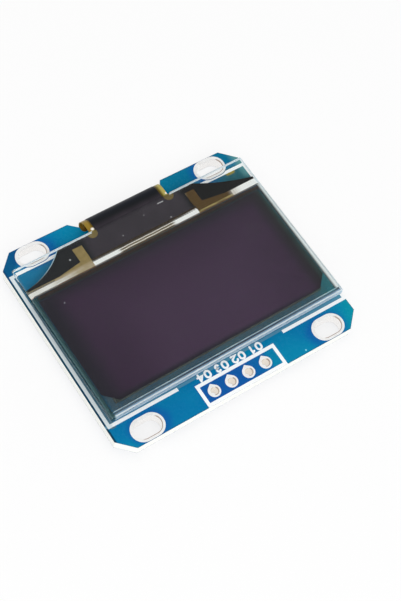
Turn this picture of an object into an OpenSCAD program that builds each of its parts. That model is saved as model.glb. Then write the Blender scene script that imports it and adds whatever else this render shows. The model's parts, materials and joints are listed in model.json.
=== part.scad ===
// Small OLED display module: a glass display panel taped to a circuit board.
// The panel shines out through its front glass, which reaches past the cap
// glass as a ledge. A film with flared wings is bonded under that ledge. Its
// tail dips through a notch in the board, folds back underneath and is
// soldered to a row of lands, beside the small parts that drive the panel.
//
// Frame: X along the header edge, Y towards the notched edge, Z out of the
// display. The origin is the middle of the mounting slots, on the board's back.

/* [Display glass] */
// Width of both glasses
glass_w = 34.5; // [31:0.1:42]
// Depth of the front glass
glass_d = 23; // [21:0.1:30]
// How far the front glass reaches past the cap glass
ledge_d = 4.6; // [4:0.1:5]
// Thickness of the front glass
front_glass_t = 0.7; // [0.5:0.05:1.1]
// Thickness of the cap glass
cap_glass_t = 0.5; // [0.4:0.05:1.1]
// Turn of the whole panel on its tape, in degrees
panel_skew = 0.6; // [0:0.1:0.8]

/* [Circuit board] */
// Board left bare beside the glass, left and right
board_side = 0.6; // [0.4:0.1:5]
// Board left bare in front of the glass, at the header edge
board_near = 4.2; // [4:0.1:8]
// Board left bare behind the glass, at the notched edge
board_far = 3.2; // [3:0.1:8]
// Thickness of the board
board_t = 1.6; // [0.8:0.1:2.4]
// Length cut from both sides of each corner
corner_cut = 2; // [0.4:0.1:2.4]

/* [Notch for the film tail] */
// Width of the notch between its straight sides
notch_w = 12.3; // [11.6:0.1:15]
// Depth of the notch from the board's edge
notch_depth = 2; // [1.8:0.1:2.6]
// Place of the notch's middle, right of the board's middle
notch_x = -0.1; // [-1:0.1:1]
// Radius left by the cutter in the notch's inner corners
notch_r = 0.5; // [0.3:0.1:0.8]
// Length of the slanted mouth along the notch's sides
flare_depth = 1.1; // [0.4:0.1:1.2]
// How far the mouth opens on the left
flare_left = 1.2; // [0.2:0.1:2]
// How far the mouth opens on the right
flare_right = 0.6; // [0.2:0.1:2]

/* [Mounting slots] */
// Length of each slot's hole, end to end
slot_l = 3.7; // [3:0.1:4.2]
// Width of each slot's hole
slot_w = 2.4; // [2.1:0.1:2.5]
// Bare metal left round each hole
slot_ring = 0.4; // [0.2:0.05:0.45]
// Distance from the board's left and right edges to a slot's middle
slot_inset_x = 4.4; // [4:0.1:5]
// Distance from the board's near and far edges to a slot's middle
slot_inset_y = 1.65; // [1.6:0.05:1.8]

/* [Header row] */
// Number of header holes
pin_count = 4; // [4:1:7]
// Distance between header holes
pin_pitch = 2.54; // [2:0.02:2.54]
// Diameter of a plated header hole
pin_hole_d = 1; // [0.7:0.05:1.1]
// Diameter of a header land
pin_land_d = 1.65; // [1.5:0.05:1.8]
// Distance from a header hole's middle to the tip of its land
pin_land_tip = 1.05; // [0.95:0.05:1.3]
// Distance from the header edge to the row
pin_inset = 1.55; // [1.4:0.05:1.8]
// Place of the row's middle, right of the board's middle
pin_row_x = -0.1; // [-1:0.1:1]

/* [Plating, lands and print] */
// Thickness of the metal plated on slots and header holes
plating_t = 0.05; // [0.03:0.01:0.1]
// Gap between a plated barrel and the laminate round it
plating_gap = 0.01; // [0.005:0.005:0.02]
// Thickness of the tinned lands on the board's back
land_t = 0.05; // [0.03:0.01:0.1]
// Thickness of the white print
print_t = 0.03; // [0.02:0.01:0.06]
// Width of the printed lines
print_line = 0.45; // [0.2:0.05:0.6]
// How far the front print lies right of its true place
print_shift = 0.17; // [-0.3:0.01:0.3]
// Gap kept between print and bare metal
print_gap = 0.1; // [0.05:0.05:0.3]
// Gap between the glass's side edges and the outline printed round it
outline_side = 0.08; // [0:0.02:0.1]
// How far the outline's far line lies under the glass
outline_far = 0.35; // [0:0.05:0.6]
// From the printed box to the ends of the outline's broken near line
outline_break = 1.95; // [1:0.05:4]
// From the end holes to the printed box's outer sides
box_side = 2.065; // [1.5:0.005:3]
// From the header row to the printed box's far side
box_far = 1.7; // [1.6:0.05:2]

/* [Polarizer] */
// Thickness of the polarizing film
polarizer_t = 0.2; // [0.1:0.02:0.3]
// Bare glass left beside the polarizer, left and right
polarizer_side = 0.35; // [0.2:0.05:1]
// Bare glass left at the polarizer's near edge
polarizer_near = 0.55; // [0.2:0.05:1]

/* [Light-emitting layer and seal] */
// Thickness of the sealed gap between the glasses
seal_t = 0.04; // [0.03:0.01:0.08]
// Width of the seal bead
seal_w = 0.6; // [0.4:0.05:0.65]
// Thickness of the light-emitting layer
emitter_t = 0.02; // [0.01:0.005:0.02]
// Clear glass beside the layer, left and right
emitter_side = 0.7; // [0.7:0.05:1.6]
// Clear glass at the layer's near edge
emitter_near = 1.75; // [1:0.05:2.5]
// Length cut from both sides of the layer's near corners
emitter_cut = 1.6; // [0.5:0.1:2.5]
// Gap between the layer's far edge and the seal
emitter_far = 0.05; // [0.05:0.05:0.5]
// Depth of the pocket etched into the cap glass
pocket_depth = 0.22; // [0.15:0.01:0.3]
// Solid rim round the pocket
pocket_rim = 2.2; // [1.5:0.1:3]
// Thickness of the drying sheet in the pocket
dryer_t = 0.14; // [0.1:0.01:0.15]
// Gap between the drying sheet and the pocket's walls
dryer_gap = 0.5; // [0.2:0.1:1]

/* [Foam tape] */
// Thickness of the foam tape
tape_t = 0.8; // [0.6:0.05:1.2]
// Distance from the cap glass's edges to the tape
tape_inset = 1.9; // [1.2:0.1:3]

/* [Film tail] */
// Thickness of the film
film_t = 0.08; // [0.05:0.01:0.12]
// Thickness of the film's black cover and of the leads beside it
cover_t = 0.03; // [0.02:0.005:0.05]
// Gap between the cap glass and the film's bonded edge
film_gap = 0.15; // [0.1:0.05:0.3]
// Distance from the glass's side edges to the wing tips
wing_inset = 0.15; // [0.05:0.05:0.5]
// Depth of a wing at its tip
wing_tip = 1.3; // [1:0.05:1.6]
// Reach of the left wing's root, left of the panel's middle
wing_root_left = 10.9; // [9.4:0.1:12]
// Reach of the right wing's root, right of the panel's middle
wing_root_right = 9.4; // [9.3:0.1:12]
// Hollow of the left wing's far edge
wing_sag_left = 0.6; // [0.1:0.05:0.8]
// Hollow of the right wing's far edge
wing_sag_right = 0.3; // [0.1:0.05:0.8]
// Gap between the glass's far edge and the wings' far edge
wing_far_gap = 0.1; // [0.05:0.05:0.2]
// Gap between the tail and each side of the notch
tail_gap = 0.25; // [0.2:0.05:0.4]
// Bare film left beside the cover, on both sides of the tail
tail_margin = 0.85; // [0.4:0.05:1.2]
// Length of the tail's return run under the board
tail_return = 3.6; // [3.2:0.1:4.4]

/* [Windows in the cover] */
// Bare bond strip at the film's near edge
bond_strip = 1; // [0.6:0.05:1.1]
// Extra bare strip in front of the middle of the cover
bond_step = 0.15; // [0:0.05:0.3]
// Inner edge of the two tan windows, from the panel's middle
window_in = 7.8; // [7.2:0.1:7.9]
// Width of each tan window
window_w = 1.4; // [0.8:0.1:1.4]
// Length of each tan window
window_l = 3.5; // [2.5:0.1:3.6]
// Length of the slanted gap in front of each wing
wedge_l = 3.3; // [2:0.1:5]
// Height of that gap where it meets the window
wedge_h = 0.5; // [0.2:0.05:0.8]
// Width of the rounded windows where the tail leaves the wings
relief_w = 1.4; // [1:0.1:1.6]
// Depth of those windows
relief_l = 0.75; // [0.75:0.05:0.9]

/* [Leads on the glass] */
// Distance between neighbouring leads
lead_pitch = 0.35; // [0.3:0.01:0.36]
// Width of a lead
lead_w = 0.28; // [0.1:0.02:0.28]
// Leads on each side of the middle one
lead_mid_count = 22; // [10:1:24]
// Leads in each outer group
lead_outer_count = 11; // [6:1:12]
// Gap between the leads and the black cover
lead_gap = 0.1; // [0.05:0.05:0.3]

/* [Driver chip] */
// Length of the driver chip
chip_l = 8; // [6:0.1:10]
// Width of the driver chip
chip_w = 1.2; // [0.8:0.1:1.6]
// Thickness of the driver chip
chip_t = 0.4; // [0.25:0.05:0.45]
// Width of the resin round the chip
resin_w = 0.4; // [0.2:0.05:0.5]
// Height of the resin on the chip's sides
resin_h = 0.22; // [0.1:0.02:0.24]
// Distance from the film's near edge to the chip
chip_setback = 1.7; // [1.4:0.1:2]

/* [Soldered contacts] */
// Number of contacts on the tail
contact_count = 15; // [9:1:15]
// Distance between contacts
contact_pitch = 0.7; // [0.6:0.02:0.72]
// Width of a contact
contact_w = 0.4; // [0.25:0.05:0.45]
// Length of the bare contacts
contact_l = 2.2; // [1.5:0.1:2.4]
// Thickness of a contact
contact_t = 0.04; // [0.02:0.01:0.05]
// How far a land reaches past the tail's end
land_reach = 0.9; // [0.7:0.1:1.2]
// Length of the solder in front of the tail's end
solder_l = 0.6; // [0.4:0.05:0.7]

/* [Chip parts on the back] */
// Length of a small capacitor
cap_l = 1.6; // [1.2:0.1:2]
// Width of a small capacitor
cap_w = 0.8; // [0.5:0.1:1.2]
// Height of a small capacitor
cap_h = 0.8; // [0.4:0.05:1]
// Length of a large capacitor
big_l = 2; // [1.6:0.1:2.4]
// Width of a large capacitor
big_w = 1.25; // [0.8:0.05:1.6]
// Height of a large capacitor
big_h = 0.95; // [0.6:0.05:1.1]
// Length of a resistor
res_l = 1.6; // [1.2:0.1:2]
// Width of a resistor
res_w = 0.8; // [0.5:0.1:1.2]
// Height of a resistor
res_h = 0.45; // [0.35:0.05:0.6]
// Length of the metal ends of a chip part
end_l = 0.35; // [0.2:0.05:0.45]
// How far the ends stand proud of a chip part's body
end_proud = 0.02; // [0.01:0.01:0.04]
// Radius along a chip part's edges
chip_r = 0.08; // [0.04:0.01:0.1]
// How far a land reaches past the end of its part
pad_reach = 0.4; // [0.3:0.05:0.5]
// How far a land is wider than its part, on both sides
pad_side = 0.05; // [0.02:0.01:0.1]
// How far the solder stops short of its land's edges
solder_gap = 0.05; // [0.02:0.01:0.1]
// How far the solder climbs up a part's end
solder_climb = 0.3; // [0.15:0.05:0.35]

/* [Layout of the back] */
// Distance between chip parts in a row
part_pitch = 2.7; // [2.4:0.1:2.8]
// From the tail's lands to the capacitors
cap_row_gap = 2.5; // [1.4:0.1:3]
// From the row of capacitors to the row of resistors
row_pitch = 4.8; // [3.6:0.1:5.4]
// Place of the first small capacitor, left of the board's middle
cap_first = -8.1; // [-9:0.1:-7]
// Place of the first large capacitor, right of the board's middle
big_first = 6.2; // [5.2:0.1:7]
// Place of the first row resistor, left of the board's middle
res_first = -5.4; // [-8:0.1:-4]
// Distance between the address resistors
link_pitch = 1.7; // [1.4:0.1:2]
// From the board's left edge to the first address resistor
link_inset_x = 7.2; // [6.8:0.1:8]
// From the header edge to the address resistors
link_inset_y = 7; // [6.6:0.1:7.8]
// From the board's right edge to the regulator
reg_inset_x = 8.45; // [6:0.05:9]
// From the header edge to the regulator
reg_inset_y = 10.2; // [9:0.1:11]
// From the board's left edge to the diode
diode_inset_x = 7.45; // [6:0.05:8]
// From the header edge to the diode
diode_inset_y = 11.8; // [11:0.1:12.5]

/* [Moulded cases on the back] */
// Length of the voltage regulator's case
reg_l = 2.9; // [2.6:0.1:3.2]
// Width of the voltage regulator's case
reg_w = 1.3; // [1.1:0.1:1.6]
// Height of the voltage regulator's case
reg_h = 1; // [0.8:0.05:1.1]
// Length of the diode's case
diode_l = 1.8; // [1.4:0.1:2.2]
// Width of the diode's case
diode_w = 1.3; // [1:0.1:1.6]
// Height of the diode's case
diode_h = 0.95; // [0.8:0.05:1]
// Slant of a case's sides
case_draft = 0.08; // [0.02:0.01:0.12]
// Gap between a case and its lands' plane
case_lift = 0.06; // [0.02:0.01:0.1]
// Thickness of the metal legs
leg_t = 0.12; // [0.08:0.01:0.14]
// Width of a leg
leg_w = 0.4; // [0.3:0.05:0.5]
// Reach of a leg from the case
leg_reach = 0.55; // [0.45:0.05:0.7]
// Inner bend radius of a leg
leg_r = 0.08; // [0.05:0.01:0.1]
// Distance between the regulator's paired legs
leg_pitch = 1.9; // [1.8:0.05:2]
// How far a land reaches under and past a leg's foot
leg_pad = 0.2; // [0.1:0.05:0.3]

/* [Hidden] */
$fn = 72;
over = 1;
// Hollow of a solder joint's side, as a share of its smaller leg
solder_hollow = 0.18;

// Heights of the stack, from the board's back upwards
z_cap = board_t + tape_t;
z_seal = z_cap + cap_glass_t;
z_front = z_seal + seal_t;
z_polarizer = z_front + front_glass_t;
z_film = z_front - cover_t - film_t;

// Outer size of the board, and the panel's middle on it
board_w = glass_w + 2 * board_side;
board_d = board_near + glass_d + board_far;
panel_y = (board_near - board_far) / 2;
glass_near = -glass_d / 2;
glass_far = glass_d / 2;
cap_far = glass_far - ledge_d;
cap_d = glass_d - ledge_d;
cap_mid = glass_near + cap_d / 2;

// Film: its edges in the panel's own frame
film_near = cap_far + film_gap;
film_far = glass_far - wing_far_gap;
tip_x = glass_w / 2 - wing_inset;
cover_near = film_near + bond_strip;
chip_mid = film_near + chip_setback + chip_w / 2;

// Tail: a fold about the notch's floor, from the ledge down to the back
notch_floor = board_d / 2 - notch_depth;
tail_w = notch_w - 2 * tail_gap;
tail_cover_w = tail_w - 2 * tail_margin;
fold_v = notch_floor - panel_y;
tail_x = notch_x + fold_v * tan(panel_skew);
z_return = -land_t - contact_t;
fold_r = (z_film - z_return) / 2;
fold_z = (z_film + z_return) / 2;
tail_end = fold_v - tail_return;
contact_span = (contact_count - 1) * contact_pitch;

// Header row and its printed box
pin_y = -board_d / 2 + pin_inset;
pin_xs = [for (i = [0:pin_count - 1]) pin_row_x + (i - (pin_count - 1) / 2) * pin_pitch];
box_half = (pin_count - 1) * pin_pitch / 2 + box_side;

// Slots: left near, right near, left far, right far
slot_at = [for (sy = [-1, 1]) for (sx = [-1, 1])
    [sx * (board_w / 2 - slot_inset_x), sy * (board_d / 2 - slot_inset_y)]];

// Chip parts on the back: the middle and the size of each
lands_near = panel_y + tail_end - land_reach;
cap_y = lands_near - cap_row_gap - cap_l / 2;
CAPS = concat(
    [for (i = [0:4]) [[cap_first + i * part_pitch, cap_y], [cap_l, cap_w, cap_h]]],
    [for (i = [0:1]) [[big_first + i * part_pitch, cap_y], [big_l, big_w, big_h]]]);
RESISTORS = concat(
    [for (i = [0:4]) [[res_first + i * part_pitch, cap_y - row_pitch], [res_l, res_w, res_h]]],
    [for (i = [0:2]) [[-board_w / 2 + link_inset_x + i * link_pitch, -board_d / 2 + link_inset_y],
        [res_l, res_w, res_h]]]);

// Moulded cases: place, size, and each leg's [x, side]
REG_AT = [board_w / 2 - reg_inset_x, -board_d / 2 + reg_inset_y];
REG_SIZE = [reg_l, reg_w, reg_h];
REG_LEGS = [[-leg_pitch / 2, -1], [leg_pitch / 2, -1], [0, 1]];
DIODE_AT = [-board_w / 2 + diode_inset_x, -board_d / 2 + diode_inset_y];
DIODE_SIZE = [diode_l, diode_w, diode_h];
DIODE_LEGS = [[0, -1], [0, 1]];

// ---- Helpers ----------------------------------------------------------

// Stands in the panel's own frame: X and Y from the glass's middle
module on_panel() {
    translate([0, panel_y, 0]) rotate([0, 0, panel_skew]) children();
}

// Hangs under the board: local Z points away from the board's back
module on_back() {
    mirror([0, 0, 1]) children();
}

// Sweeps a profile drawn in Y and Z along X, over a width centred on x
module across(x, w) {
    translate([x - w / 2, 0, 0]) rotate([90, 0, 90]) linear_extrude(w) children();
}

// A slot's shape: a bar with round ends
module stadium(l, w) {
    square([l - w, w], center = true);
    for (s = [-1, 1]) translate([s * (l - w) / 2, 0]) circle(d = w);
}

// A rectangle with round corners
module round_rect(size, r) {
    square([size[0] - 2 * r, size[1]], center = true);
    square([size[0], size[1] - 2 * r], center = true);
    for (sx = [-1, 1]) for (sy = [-1, 1])
        translate([sx * (size[0] / 2 - r), sy * (size[1] / 2 - r)]) circle(r);
}

// A rectangular outline drawn with one line width, inside its outer size
module line_frame(x0, x1, y0, y1, line) {
    difference() {
        translate([x0, y0]) square([x1 - x0, y1 - y0]);
        translate([x0 + line, y0 + line])
            square([x1 - x0 - 2 * line, y1 - y0 - 2 * line]);
    }
}

// Radius of the arc over a chord with a given sag
function arc_r(chord, sag) = (chord * chord / 4 + sag * sag) / (2 * sag);

// Disc whose rim passes through a and b and bulges by sag to the right of a-b
module scoop(a, b, sag) {
    along = b - a;
    r = arc_r(norm(along), sag);
    away = [-along[1], along[0]] / norm(along);
    translate((a + b) / 2 + away * (r - sag)) circle(r, $fn = 180);
}

// Solder's hollow side: run along the land, rise up the metal
module fillet_profile(run, rise) {
    difference() {
        square([run, rise]);
        scoop([0, rise], [run, 0], min(run, rise) * solder_hollow);
    }
}

// ---- Circuit board ----------------------------------------------------

// Notch: straight sides, cutter-round inner corners and a slanted mouth
module notch_outline() {
    left = notch_x - notch_w / 2;
    right = notch_x + notch_w / 2;
    edge = board_d / 2;
    translate([left, notch_floor + notch_r]) square([notch_w, notch_depth - notch_r + over]);
    translate([left + notch_r, notch_floor]) square([notch_w - 2 * notch_r, notch_depth]);
    for (x = [left + notch_r, right - notch_r]) translate([x, notch_floor + notch_r]) circle(notch_r);
    polygon([
        [left, edge - flare_depth], [right, edge - flare_depth],
        [right + flare_right, edge], [right + flare_right, edge + over],
        [left - flare_left, edge + over], [left - flare_left, edge]
    ]);
}

module board_outline() {
    difference() {
        square([board_w, board_d], center = true);
        for (sx = [-1, 1]) for (sy = [-1, 1])
            translate([sx * board_w / 2, sy * board_d / 2])
                rotate(45) square(corner_cut * sqrt(2), center = true);
        notch_outline();
    }
}

module circuit_board() {
    barrel = 2 * (plating_t + plating_gap);
    color("#0f6f9f") linear_extrude(board_t) difference() {
        board_outline();
        for (p = slot_at) translate(p) stadium(slot_l + barrel, slot_w + barrel);
        for (x = pin_xs) translate([x, pin_y]) circle(d = pin_hole_d + barrel);
    }
}

// A plated lining: a barrel through the board with a flange on both faces
module plated_lining() {
    translate([0, 0, -plating_t]) linear_extrude(plating_t) difference() {
        children(0);
        children(1);
    }
    translate([0, 0, board_t]) linear_extrude(plating_t) difference() {
        children(0);
        children(1);
    }
    translate([0, 0, -plating_t]) linear_extrude(board_t + 2 * plating_t) difference() {
        children(2);
        children(1);
    }
}

module slot_plating(i) {
    color("silver") translate(slot_at[i - 1]) plated_lining() {
        stadium(slot_l + 2 * slot_ring, slot_w + 2 * slot_ring);
        stadium(slot_l, slot_w);
        stadium(slot_l + 2 * plating_t, slot_w + 2 * plating_t);
    }
}

// A header land: round, with a short tip towards the display
module pin_land() {
    r = pin_land_d / 2;
    lean = acos(r / pin_land_tip);
    touch = r * [sin(lean), cos(lean)];
    circle(r);
    polygon([[0, pin_land_tip], touch, [0, 0], [-touch[0], touch[1]]]);
}

module header_eyelet(i) {
    color("silver") translate([pin_xs[i - 1], pin_y]) plated_lining() {
        pin_land();
        circle(d = pin_hole_d);
        circle(d = pin_hole_d + 2 * plating_t);
    }
}

// White print on the front: the glass's outline and a box round the header
module front_print() {
    side = glass_w / 2 + outline_side + print_line;
    near = panel_y + glass_near - print_line;
    far = panel_y + glass_far - outline_far + print_line;
    gap_half = box_half + outline_break;
    color("white") translate([0, 0, board_t]) linear_extrude(print_t) difference() {
        intersection() {
            translate([print_shift, 0]) {
                difference() {
                    line_frame(-side, side, near, far, print_line);
                    translate([-gap_half, near - print_line]) square([2 * gap_half, 3 * print_line]);
                }
                line_frame(-box_half, box_half, -board_d / 2, pin_y + box_far, print_line);
            }
            board_outline();
        }
        for (p = slot_at) translate(p)
            stadium(slot_l + 2 * (slot_ring + print_gap), slot_w + 2 * (slot_ring + print_gap));
    }
}

// ---- Display panel ----------------------------------------------------

module foam_tape() {
    color("white") on_panel() translate([0, cap_mid, board_t + tape_t / 2])
        cube([glass_w - 2 * tape_inset, cap_d - 2 * tape_inset, tape_t], center = true);
}

module cap_glass() {
    color("lightcyan") on_panel() translate([0, cap_mid, z_cap]) difference() {
        linear_extrude(cap_glass_t) square([glass_w, cap_d], center = true);
        translate([0, 0, cap_glass_t - pocket_depth]) linear_extrude(pocket_depth + over)
            round_rect([glass_w - 2 * pocket_rim, cap_d - 2 * pocket_rim], 1);
    }
}

module drying_sheet() {
    inset = 2 * (pocket_rim + dryer_gap);
    color("ivory") on_panel() translate([0, cap_mid, z_seal - pocket_depth])
        linear_extrude(dryer_t) square([glass_w - inset, cap_d - inset], center = true);
}

module seal_bead() {
    color("gray") on_panel() translate([0, 0, z_seal]) linear_extrude(seal_t)
        line_frame(-glass_w / 2, glass_w / 2, glass_near, cap_far, seal_w);
}

// Thin layer on the front glass's inner face, its near corners cut off
module emitter_layer() {
    half = glass_w / 2 - emitter_side;
    near = glass_near + emitter_near;
    far = cap_far - seal_w - emitter_far;
    color("#31263a") on_panel() translate([0, 0, z_front - emitter_t]) linear_extrude(emitter_t)
        polygon([
            [-half + emitter_cut, near], [half - emitter_cut, near], [half, near + emitter_cut],
            [half, far], [-half, far], [-half, near + emitter_cut]
        ]);
}

module front_glass() {
    color("azure") on_panel() translate([0, 0, z_front]) linear_extrude(front_glass_t)
        square([glass_w, glass_d], center = true);
}

module polarizer() {
    near = glass_near + polarizer_near;
    color("#2b2a33") on_panel() translate([0, 0, z_polarizer]) linear_extrude(polarizer_t)
        translate([-glass_w / 2 + polarizer_side, near])
            square([glass_w - 2 * polarizer_side, cap_far - near]);
}

// Metal leads on the ledge's underside: a middle group and two outer groups
module glass_leads() {
    outer = tip_x - lead_w / 2;
    xs = concat(
        [for (i = [-lead_mid_count:lead_mid_count]) i * lead_pitch],
        [for (s = [-1, 1]) for (i = [0:lead_outer_count - 1]) s * (outer - i * lead_pitch)]);
    color("gainsboro") on_panel() for (x = xs)
        translate([x - lead_w / 2, film_near, z_front - cover_t])
            cube([lead_w, bond_strip - lead_gap, cover_t]);
}

// ---- Film with its tail -----------------------------------------------

// Flat part of the film: wings with hollow far edges, under the ledge
module wing_outline() {
    left_tip = [-tip_x, film_near + wing_tip];
    right_tip = [tip_x, film_near + wing_tip];
    left_root = [-wing_root_left, film_far];
    right_root = [wing_root_right, film_far];
    difference() {
        polygon([[-tip_x, film_near], [tip_x, film_near], right_tip, right_root, left_root, left_tip]);
        scoop(right_root, right_tip, wing_sag_right);
        scoop(left_tip, left_root, wing_sag_left);
    }
}

// Side view of a layer of the tail: along the ledge, round the fold, back
module fold_profile(r, t, start, end) {
    reach = r + t + over;
    translate([start, fold_z + r]) square([fold_v - start, t]);
    translate([end, fold_z - r - t]) square([fold_v - end, t]);
    translate([fold_v, fold_z]) intersection() {
        difference() {
            circle(r + t);
            circle(r);
        }
        translate([0, -reach]) square([reach, 2 * reach]);
    }
}

module tail_film() {
    color("#b98a3c") on_panel() union() {
        translate([0, 0, z_film]) linear_extrude(film_t) wing_outline();
        across(tail_x, tail_w) fold_profile(fold_r, film_t, film_far, tail_end);
    }
}

// Windows in the cover that leave the tan film bare
module cover_windows() {
    translate([-glass_w, film_near - over]) square([2 * glass_w, bond_strip + over]);
    translate([-window_in, film_near]) square([2 * window_in, bond_strip + bond_step]);
    for (flip = [0, 1]) mirror([flip, 0]) {
        translate([window_in, film_near]) square([window_w, window_l]);
        polygon([
            [window_in, cover_near + wedge_h], [window_in, film_near],
            [window_in + window_w + wedge_l, film_near], [window_in + window_w + wedge_l, cover_near],
            [window_in + window_w, cover_near + wedge_h]
        ]);
    }
    for (s = [-1, 1]) translate([tail_x + s * (tail_cover_w + relief_w) / 2, film_far - relief_l + relief_w / 2]) {
        circle(d = relief_w);
        translate([-relief_w / 2, 0]) square([relief_w, relief_l]);
    }
}

module tail_cover() {
    color("#1b1b1f") on_panel() union() {
        translate([0, 0, z_film + film_t]) linear_extrude(cover_t) difference() {
            wing_outline();
            cover_windows();
        }
        across(tail_x, tail_cover_w)
            fold_profile(fold_r + film_t, cover_t, film_far, tail_end + contact_l);
    }
}

module driver_chip() {
    color("#26262a") on_panel() translate([0, chip_mid, z_film - chip_t / 2])
        cube([chip_l, chip_w, chip_t], center = true);
}

// Resin run round the chip's sides, against the film
module chip_resin() {
    color("#101010") on_panel() translate([0, chip_mid, z_film - resin_h]) linear_extrude(resin_h)
        difference() {
            round_rect([chip_l + 2 * resin_w, chip_w + 2 * resin_w], resin_w);
            square([chip_l, chip_w], center = true);
        }
}

// Copper contacts on the tail's inner face
module tail_contacts() {
    color("#c9803a") on_panel() for (i = [0:contact_count - 1])
        translate([tail_x - contact_span / 2 + i * contact_pitch - contact_w / 2, tail_end, z_return])
            cube([contact_w, contact_l, contact_t]);
}

// Tinned lands on the board under the contacts
module tail_lands() {
    color("silver") for (i = [0:contact_count - 1])
        translate([notch_x - contact_span / 2 + i * contact_pitch - contact_w / 2, lands_near, -land_t])
            cube([contact_w, land_reach + contact_l, land_t]);
}

// Solder that slopes from each land up the tail's end
module tail_solder() {
    rise = contact_t + film_t + cover_t;
    color("gainsboro") on_panel() for (i = [0:contact_count - 1])
        across(tail_x - contact_span / 2 + i * contact_pitch, contact_w)
            translate([tail_end, -land_t]) polygon([[0, 0], [-solder_l, 0], [0, -rise]]);
}

// ---- Small parts on the back ------------------------------------------

// A chip part stands along Y. Its body lies between two metal ends.
module chip_body(size) {
    w = size[1] - 2 * end_proud;
    h = size[2] - 2 * end_proud;
    translate([0, size[0] / 2 - end_l, land_t + size[2] / 2]) rotate([90, 0, 0])
        linear_extrude(size[0] - 2 * end_l) round_rect([w, h], chip_r);
}

module chip_ends(size) {
    for (y = [size[0] / 2, -size[0] / 2 + end_l])
        translate([0, y, land_t + size[2] / 2]) rotate([90, 0, 0])
            linear_extrude(end_l) round_rect([size[1], size[2]], chip_r);
}

module chip_lands(size) {
    l = end_l + pad_reach;
    for (s = [-1, 1])
        translate([0, s * (size[0] / 2 - end_l + l / 2), land_t / 2])
            cube([size[1] + 2 * pad_side, l, land_t], center = true);
}

module chip_solder(size) {
    for (turn = [0, 180]) rotate(turn) across(0, size[1] - 2 * solder_gap)
        translate([size[0] / 2, land_t]) fillet_profile(pad_reach - solder_gap, solder_climb);
}

module capacitor(i) {
    color("#b79a72") on_back() translate(CAPS[i - 1][0]) chip_body(CAPS[i - 1][1]);
}

module resistor(i) {
    color("#202024") on_back() translate(RESISTORS[i - 1][0]) chip_body(RESISTORS[i - 1][1]);
}

module capacitor_ends() {
    color("gainsboro") on_back() for (c = CAPS) translate(c[0]) chip_ends(c[1]);
}

module resistor_ends() {
    color("gainsboro") on_back() for (r = RESISTORS) translate(r[0]) chip_ends(r[1]);
}

// Section of a moulded case: upright where the legs leave it, slanted above
// and below
module case_profile(w, h) {
    band = leg_t / 2;
    inner = w / 2 - case_draft;
    polygon([
        [-w / 2, -band], [-inner, -h / 2], [inner, -h / 2], [w / 2, -band],
        [w / 2, band], [inner, h / 2], [-inner, h / 2], [-w / 2, band]
    ]);
}

module moulded_case(size) {
    translate([0, 0, land_t + case_lift + size[2] / 2]) intersection() {
        rotate([90, 0, 90]) linear_extrude(size[0], center = true) case_profile(size[1], size[2]);
        rotate([90, 0, 0]) linear_extrude(size[1], center = true) case_profile(size[0], size[2]);
    }
}

// Side view of a leg: out of the case, down through two bends, along the land
module leg_profile(top) {
    r = leg_r;
    outer = leg_r + leg_t;
    run = leg_reach - outer - 2 * r;
    square_drop = top - outer - outer;
    translate([0, top - leg_t]) square([r, leg_t]);
    translate([r, top - outer]) quarter_ring(r, outer, 0);
    translate([2 * r, outer]) square([leg_t, square_drop]);
    translate([2 * r + outer, outer]) quarter_ring(r, outer, 180);
    translate([2 * r + outer, 0]) square([run, leg_t]);
}

// A quarter of a ring, turned to start at an angle
module quarter_ring(inner, outer, turn) {
    rotate(turn) intersection() {
        difference() {
            circle(outer);
            circle(inner);
        }
        square(outer);
    }
}

// Legs leave the case's sides at its mid line and stand on the lands
module leg(x, side, size) {
    top = case_lift + size[2] / 2 + leg_t / 2;
    rotate(side > 0 ? 0 : 180) across(side * x, leg_w)
        translate([size[1] / 2, land_t]) leg_profile(top);
}

// The land under a leg's foot
module leg_land(x, side, size) {
    outer = leg_reach + leg_pad;
    inner = 3 * leg_r + leg_t;
    translate([x, side * (size[1] / 2 + (outer + inner) / 2), land_t / 2])
        cube([leg_w + leg_pad, outer - inner, land_t], center = true);
}

module regulator_case() {
    color("#18181b") on_back() translate(REG_AT) moulded_case(REG_SIZE);
}

module regulator_legs() {
    color("silver") on_back() translate(REG_AT) for (l = REG_LEGS) leg(l[0], l[1], REG_SIZE);
}

module diode_case() {
    color("#18181b") on_back() translate(DIODE_AT) moulded_case(DIODE_SIZE);
}

module diode_legs() {
    color("silver") on_back() translate(DIODE_AT) for (l = DIODE_LEGS) leg(l[0], l[1], DIODE_SIZE);
}

module part_lands() {
    color("silver") on_back() {
        for (p = concat(CAPS, RESISTORS)) translate(p[0]) chip_lands(p[1]);
        translate(REG_AT) for (l = REG_LEGS) leg_land(l[0], l[1], REG_SIZE);
        translate(DIODE_AT) for (l = DIODE_LEGS) leg_land(l[0], l[1], DIODE_SIZE);
    }
}

module part_solder() {
    color("gainsboro") on_back() for (p = concat(CAPS, RESISTORS)) translate(p[0]) chip_solder(p[1]);
}

// Two lines beside a moulded case, and a bar past the diode's marked end
module case_marks(size, line) {
    for (x = [-size[0] / 2 - 1.5 * line, size[0] / 2 + 0.5 * line])
        translate([x, -size[1] / 2]) square([line, size[1]]);
}

// White print on the back: a box round the header, and marks at the cases
module back_print() {
    line = print_line / 2;
    color("white") on_back() linear_extrude(print_t) {
        intersection() {
            translate([print_shift, 0])
                line_frame(-box_half, box_half, -board_d / 2, pin_y + box_far, line);
            board_outline();
        }
        translate(REG_AT) case_marks(REG_SIZE, line);
        translate(DIODE_AT) case_marks(DIODE_SIZE, line);
        translate(DIODE_AT + [-diode_w / 2, diode_w / 2 + leg_reach + leg_pad + line])
            square([diode_w, line]);
    }
}

// ---- Nodes ------------------------------------------------------------

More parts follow.
